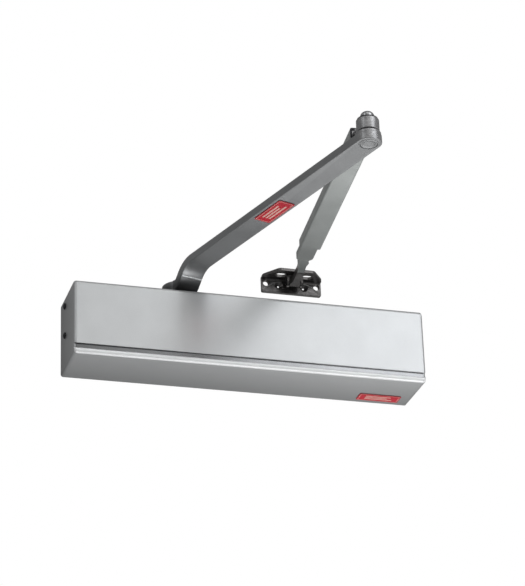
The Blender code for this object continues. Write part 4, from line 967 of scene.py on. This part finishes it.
def adjusting_bar():
    tube_low, tube_high = span("forearm_tube")
    low, high = tube_low + TUBE_WALL + GAP, tube_high - TUBE_WALL - GAP
    tongue_low, tongue_high = PIN_HEIGHT - TONGUE_EYE, PIN_HEIGHT + TONGUE_EYE
    start = FORE_LENGTH - TONGUE_RUN
    side = [(BAR_START, low), (BAR_SHOULDER - 1, low), (start, tongue_low)]
    side += arc((FORE_LENGTH, PIN_HEIGHT), TONGUE_EYE, -90, 90, 24)
    side += [(start, tongue_high), (BAR_SHOULDER, high), (BAR_START, high)]
    bar = make("adjusting_bar_formed", extrude(side, -BAR_HALF, BAR_HALF, "XZ"), FORE)
    clear, shoulder, screw_hole = 2, 4.0, 2.9
    cutters = []
    for sign in (-1, 1):
        edge = [(BAR_SHOULDER - 6, BAR_HALF + clear), (BAR_SHOULDER - 6, BAR_HALF + 0.05)]
        edge += arc((BAR_SHOULDER - shoulder, BAR_HALF - shoulder), shoulder, 85, 10, 10)
        edge += [(BAR_SHOULDER + 3, TONGUE_HALF + 0.6), (BAR_SHOULDER + 7, TONGUE_NECK + 0.3),
                 (start, TONGUE_NECK), (FORE_LENGTH - 9, TONGUE_NECK), (FORE_LENGTH - 5, TONGUE_HALF),
                 (FORE_LENGTH + 6, TONGUE_HALF), (FORE_LENGTH + 6, BAR_HALF + clear)]
        cutters.append(extrude([(x, sign * y) for x, y in edge], tongue_low - 3, high + 3))
    cutters.append(moved(rod(screw_hole, low - PAST, high + PAST, 32), along("Z", (CLAMP_ALONG, 0, 0))))
    cutters.append(moved(rod(PIN_HOLE, -TONGUE_HALF - PAST, TONGUE_HALF + PAST, 32),
                         along("Y", (FORE_LENGTH, 0, PIN_HEIGHT))))
    cut(bar, cutters, FORE)
    edge_bevel(bar, 0.6)
    dress(bar, FORE_PAINT, "adjusting_bar", "arm_paint", "adjusting_bar")
    run = FORE.to_3x3().col[0]

    def on_tongue(middle, normal):
        return (middle - ELBOW).dot(run) > (BAR_SHOULDER + 7.0) * MM
    second_finish(bar, GUNMETAL, on_tongue)


def clamp_screw():
    thread, head, slot_half = 2.6, 4.9, 0.5
    low, high = span("forearm_clamp_screw")
    under = high - 1.5
    profile = [(2.1, low), (thread, low + 0.6), (thread, under), (head, under + 0.1),
               (head, high - 0.6), (3.4, high), (NEAR_AXIS, high)]
    at = FORE @ Matrix.Translation((CLAMP_ALONG * MM, 0, 0))
    turned("forearm_clamp_screw", revolve(soften(profile, 0.4)), at, BRIGHT, "adjusting_bar", "steel",
           [block((-6, -slot_half, high - 0.8), (6, slot_half, high + PAST))])


# ---- yoke and shoe
def shoe_yoke():
    top = span("shoe_yoke")[1]
    ear = [(YOKE_HALF, top), (-YOKE_HALF, top)] + arc((0, PIN_HEIGHT), YOKE_HALF, 180, 360, 28)
    yoke = make("shoe_yoke_formed", extrude(ear, -EAR_OUTER, EAR_OUTER, "XZ"), AT_YOKE)
    at_pin = along("Y", (0, 0, PIN_HEIGHT))
    reach = 10
    tools = [block((-reach, -EAR_INNER, PIN_HEIGHT - reach), (reach, EAR_INNER, top - YOKE_WEB)),
             moved(rod(PIN_HOLE, -EAR_OUTER - PAST, EAR_OUTER + PAST, 32), at_pin),
             revolve([(3.1, top + PAST), (3.1, top - 0.6), (4.2, top - 2.4)], segments=40)]
    cut(yoke, tools, AT_YOKE)
    edge_bevel(yoke, 0.3)
    dress(yoke, GUNMETAL, "yoke", "shoe", "shoe_yoke")
    pin_radius, head_radius = 1.7, 2.6
    head = EAR_OUTER + 0.2
    half = [(NEAR_AXIS, -head - 0.6), (2.2, -head - 0.6), (head_radius, -head - 0.25),
            (head_radius, -head), (pin_radius, -head)]
    pin = half + [(radius, -height) for radius, height in reversed(half)]
    turned("yoke_pin", moved(revolve(soften(pin, 0.15)), at_pin), AT_YOKE, DARK, "yoke", "dark_steel")


def bead_along(path, level, radius):
    """A round bead along an (x, z) path in the plane y = level."""
    sides = 8
    front = Vector((0.0, 1.0, 0.0))
    sections = []
    spots = [Vector((x, level, z)) for x, z in path]
    for index, spot in enumerate(spots):
        before = spots[max(index - 1, 0)]
        after = spots[min(index + 1, len(spots) - 1)]
        across = front.cross((after - before).normalized())
        section = []
        for side in range(sides):
            angle = 2 * math.pi * side / sides
            section.append(spot + (across * math.cos(angle) + front * math.sin(angle)) * radius)
        sections.append(section)
    return loft(sections)


def arm_shoe():
    bottom, top = span("arm_shoe")
    plate_low, plate_top = top - SHOE_PLATE, top - 0.1
    flange = soften(rectangle((-SHOE_HALF, bottom), (SHOE_HALF, top)), 1.6, True, 6)
    inner = SHOE_BACK - SHOE_FLANGE
    shoe = make("arm_shoe_pressed", extrude(flange, inner, SHOE_BACK, "XZ"), AT_SHOE)
    side = SHOE_HALF - 0.2
    outline = [(-side, SHOE_BACK - 1.0), (-side, SHOE_BACK - 7.0), (-SHOE_FRONT_HALF, SHOE_REACH),
               (SHOE_FRONT_HALF, SHOE_REACH), (side, SHOE_BACK - 7.0), (side, SHOE_BACK - 1.0)]
    sunk, round_off = 0.5, 2.2
    fillet = [(inner + sunk, plate_low + sunk), (inner - round_off, plate_low + sunk)]
    fillet += arc((inner - round_off, plate_low - round_off), round_off, 90, 0, 8)
    fillet.append((inner + sunk, plate_low - round_off))
    pad = soften(PAD, 5.0, True, 8)
    weld(shoe, [extrude(soften(outline, 2.0, True, 6), plate_low, plate_top),
                extrude(pad, inner - PAD_THICKNESS, inner + 1.0, "XZ"),
                extrude(fillet, -SHOE_HALF + 3.0, SHOE_HALF - 3.0, "YZ")], AT_SHOE)
    holes = []
    front = -inner
    for x, z, radius, through in FLANGE_HOLES:
        sink = [(radius + 0.7, front + PAST), (radius + 0.7, front + 0.3),
                (through, front - 2.2), (through, -SHOE_BACK - PAST)]
        at_hole = Matrix.Translation((x, 0, z)) @ Matrix.Rotation(math.pi / 2, 4, "X")
        holes.append(moved(revolve(sink, segments=40), at_hole))
    for sign in (-1, 1):
        slot = extrude(slot_outline(*PLATE_SLOT), plate_low - 3, top + 2)
        holes.append(moved(slot, Matrix.Translation((sign * PLATE_SLOT_OFFSET, 0, 0))))
    sink = span("swivel_rivet")[1] + 0.1 - 1.8
    holes.append(revolve([(3.1, plate_low - PAST), (3.1, sink), (4.9, plate_top - GAP),
                          (4.9, plate_top + PAST)], segments=56))
    cut(shoe, holes, AT_SHOE)
    edge_bevel(shoe, 0.3)
    dress(shoe, GUNMETAL, "shoe", "shoe", "arm_shoe")
    # The beads along the pad's crest carry the painted highlight.
    crest = [point for point in pad if point[1] > PAD[1][1]]
    for which, sign in (("left", -1), ("right", 1)):
        path = [point for point in crest if sign * point[0] > YOKE_SWEEP]
        path.append((sign * YOKE_SWEEP, PAD[2][1]))
        bead = make("shoe_ridge_" + which, bead_along(sorted(path), inner - PAD_THICKNESS, 0.45), AT_SHOE)
        dress(bead, SHOE_BEAD_HIGHLIGHT, "shoe", "shoe")
    low, high = span("swivel_rivet")
    shank, head = 2.8, 4.6
    profile = [(NEAR_AXIS, low), (3.4, low), (shank, low + 1.05), (shank, sink), (head, high - 0.2),
               (head, high), (NEAR_AXIS, high)]
    turned("swivel_rivet", revolve(soften(profile, 0.15)), AT_SHOE, DARK, "shoe", "dark_steel")


# ---- labels
def label(node, place, body, wide):
    """A red plate with a pale border and three plain bars, all on its underside."""
    low, high = span(node)
    outline = soften(rectangle((-LABEL_HALF[0], -wide), (LABEL_HALF[0], wide)), 1.4, True, 6)
    plate = make(node + "_plate", extrude(outline, low, high), place)
    edge_bevel(plate, 0.08, 2, 50.0)
    dress(plate, RED, body, "label", node)
    face, root = low - 0.04, low + 0.05
    outer = [(x * 0.94, y * 0.88) for x, y in outline]
    inner = [(x * 0.92, y * 0.83) for x, y in outline]
    levels = ((outer, root), (outer, face), (inner, face), (inner, root))
    border = make(node + "_border", loft([[(x, y, z) for x, y in path] for path, z in levels], True), place)
    dress(border, PALE, body, "label")
    for number, (end, across) in enumerate(((12.5, 0.4), (7.5, 0.0), (10.5, -0.4)), 1):
        middle, half = across * wide, wide * 0.11
        bar = soften(rectangle((-12.5, middle - half), (end, middle + half)), 0.4, True)
        piece = make("%s_bar_%d" % (node, number), extrude(bar, face, root), place)
        dress(piece, PALE, body, "label")


def labels():
    low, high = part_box("arm_label")
    middle = (low + high) / 2
    run = (Vector((middle.x, middle.y, 0.0)) - SPINDLE).length
    label("arm_label", ARM @ Matrix.Translation((run, 0, 0)), "main_arm", LABEL_HALF[1])
    low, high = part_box("cover_label")
    label("cover_label", Matrix.Translation(((low.x + high.x) / 2, (low.y + high.y) / 2, 0.0)), "body",
          COVER_LABEL_HALF)


# ---- springs
def springs():
    """The coils of the CAD springs, copied into pieces of their own."""
    for node in ("outer_spring", "inner_spring"):
        coil = bmesh.new()
        coil.from_mesh(frame["nodes"][node].data)
        moved(coil, Matrix.Scale(1.0 / MM, 4) @ frame["nodes"][node].matrix_world)
        spring = make(node + "_coiled", coil)
        dress(spring, WIRE, "body", "spring", node)
        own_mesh(spring)


# ---- carried-over CAD nodes
CARRIED = {
    STEEL: ("pinion_shaft", "piston", "upper_bearing", "lower_bearing", "lower_bearing_cap",
            "check_ball", "spring_seat"),
    BRASS: ("upper_thrust_washer", "lower_thrust_washer", "check_ball_retainer", "sweep_valve",
            "latch_valve", "backcheck_valve"),
    RUBBER: ("left_plug_seal", "right_plug_seal", "sweep_valve_seal", "latch_valve_seal",
             "backcheck_valve_seal"),
}


def carried_nodes():
    for material, names in CARRIED.items():
        for name in names:
            mesh = frame["nodes"][name].data
            mesh.materials.clear()
            mesh.materials.append(material)


# ---- camera, light and floor
CAMERA_PLACE = (-0.5582, -1.9201, -0.8845)
CAMERA_AIM = (0.01717, -0.0305, 0.04866)
CAMERA_ROLL = math.radians(-2.02)
CAMERA_LENS = 153.9
FLOOR_HEIGHT = -2.4
FLOOR_LIFT = 0.5                # brings the floor near the white of the studio
SKY_FRONT = 0.55                # soft light from the side that the cover faces
SKY_BEHIND = 0.17


def camera():
    data = bpy.data.cameras.new("camera")
    data.lens = CAMERA_LENS
    data.clip_end = 50.0
    made = in_scene("camera", data)
    made.location = CAMERA_PLACE
    look = Vector(CAMERA_AIM) - Vector(CAMERA_PLACE)
    made.rotation_mode = "QUATERNION"
    turn = look.to_track_quat("-Z", "Y")
    made.rotation_quaternion = turn @ Matrix.Rotation(CAMERA_ROLL, 3, "Z").to_quaternion()
    bpy.context.scene.camera = made


def panel(name, place, size, power, colour=(1.0, 1.0, 1.0), aim=(0.0, -0.05, 0.0)):
    """A soft rectangular light."""
    data = bpy.data.lights.new(name, "AREA")
    data.shape = "RECTANGLE"
    data.size, data.size_y = size
    data.energy = power
    data.color = colour
    made = in_scene(name, data)
    made.location = place
    made.rotation_mode = "QUATERNION"
    made.rotation_quaternion = (Vector(aim) - Vector(place)).to_track_quat("-Z", "Y")
    made.visible_camera = False


def studio():
    panel("key_light", (1.40, -2.3, 1.0), (1.4, 1.6), 14.0, (0.95, 0.97, 1.0), (0.1, -0.05, 0.0))
    panel("front_fill", (0.17, -2.35, 0.95), (1.36, 1.3), 2.45, (1.0, 1.0, 0.98))
    panel("lip_light", (0.7, -2.35, -0.15), (1.6, 0.9), 2.4)
    panel("side_fill", (-1.5, -1.1, 0.9), (0.5, 1.0), 1.4, (0.95, 0.98, 1.0))
    panel("back_light", (0.9, 2.3, 1.5), (1.8, 1.2), 6.0)
    panel("edge_light", (0.2, -1.5, 1.9), (1.8, 0.4), 4.0, aim=(0.0, 0.0, 0.0))
    panel("riser_strip", (0.75, -0.35, -0.85), (0.25, 0.9), 3.0, aim=(-0.05, -0.08, 0.05))
    panel("floor_bounce", (0.5, 0.3, -1.15), (1.4, 1.4), 9.4, aim=(0.05, -0.1, 0.0))
    world = bpy.data.worlds.new("studio")
    bpy.context.scene.world = world
    world.use_nodes = True
    tree = world.node_tree
    soft = tree.nodes["Background"]
    white = add(tree, "Background")
    socket_in(white, "Color", (1.0, 1.0, 1.0, 1.0))
    coords = add(tree, "TexCoord").outputs["Generated"]
    parts = add(tree, "SeparateXYZ")
    link(tree, coords, parts, "Vector")
    forward = add(tree, "MapRange")
    socket_in(forward, "From Min", 1.0)
    socket_in(forward, "From Max", -1.0)
    link(tree, parts.outputs["Y"], forward, "Value")
    sky = ramp(tree, forward.outputs["Result"], [(0.0, (SKY_BEHIND,) * 3), (1.0, (SKY_FRONT,) * 3)])
    link(tree, sky, soft, "Color")
    mix = add(tree, "MixShader")
    link(tree, add(tree, "LightPath").outputs["Is Camera Ray"], mix, "Fac")
    link(tree, soft.outputs["Background"], mix, 1)
    link(tree, white.outputs["Background"], mix, 2)
    link(tree, mix.outputs["Shader"], tree.nodes["World Output"], "Surface")
    bpy.context.scene.view_settings.view_transform = "Standard"


def floor():
    half = 20.0
    bm = bmesh.new()
    bm.faces.new([bm.verts.new((x, y, FLOOR_HEIGHT)) for x, y in rectangle((-half, -half), (half, half))])
    mesh = bpy.data.meshes.new("floor")
    bm.to_mesh(mesh)
    bm.free()
    made = in_scene("floor", mesh)
    paint = surface("floor_paint", (0.80, 0.80, 0.80), 0.0, 0.75, 0.01, 60.0, 0.0001)
    tree = paint.node_tree
    glow = add(tree, "Math")
    glow.operation = "MULTIPLY"
    glow.inputs[1].default_value = FLOOR_LIFT
    link(tree, add(tree, "LightPath").outputs["Is Camera Ray"], glow, 0)
    shader = tree.nodes["Principled BSDF"]
    socket_in(shader, "Emission Color", (1.0, 1.0, 1.0, 1.0))
    link(tree, glow.outputs["Value"], shader, "Emission Strength")
    mesh.materials.append(paint)


camera()
studio()
floor()
cover_shell()
cover_ends()
cover_screws()
body_casting()
end_plugs()
power_screw()
spindle_top()
main_arm()
arm_fasteners()
elbow_knuckle()
forearm_tube()
adjusting_bar()
clamp_screw()
shoe_yoke()
arm_shoe()
labels()
springs()
carried_nodes()
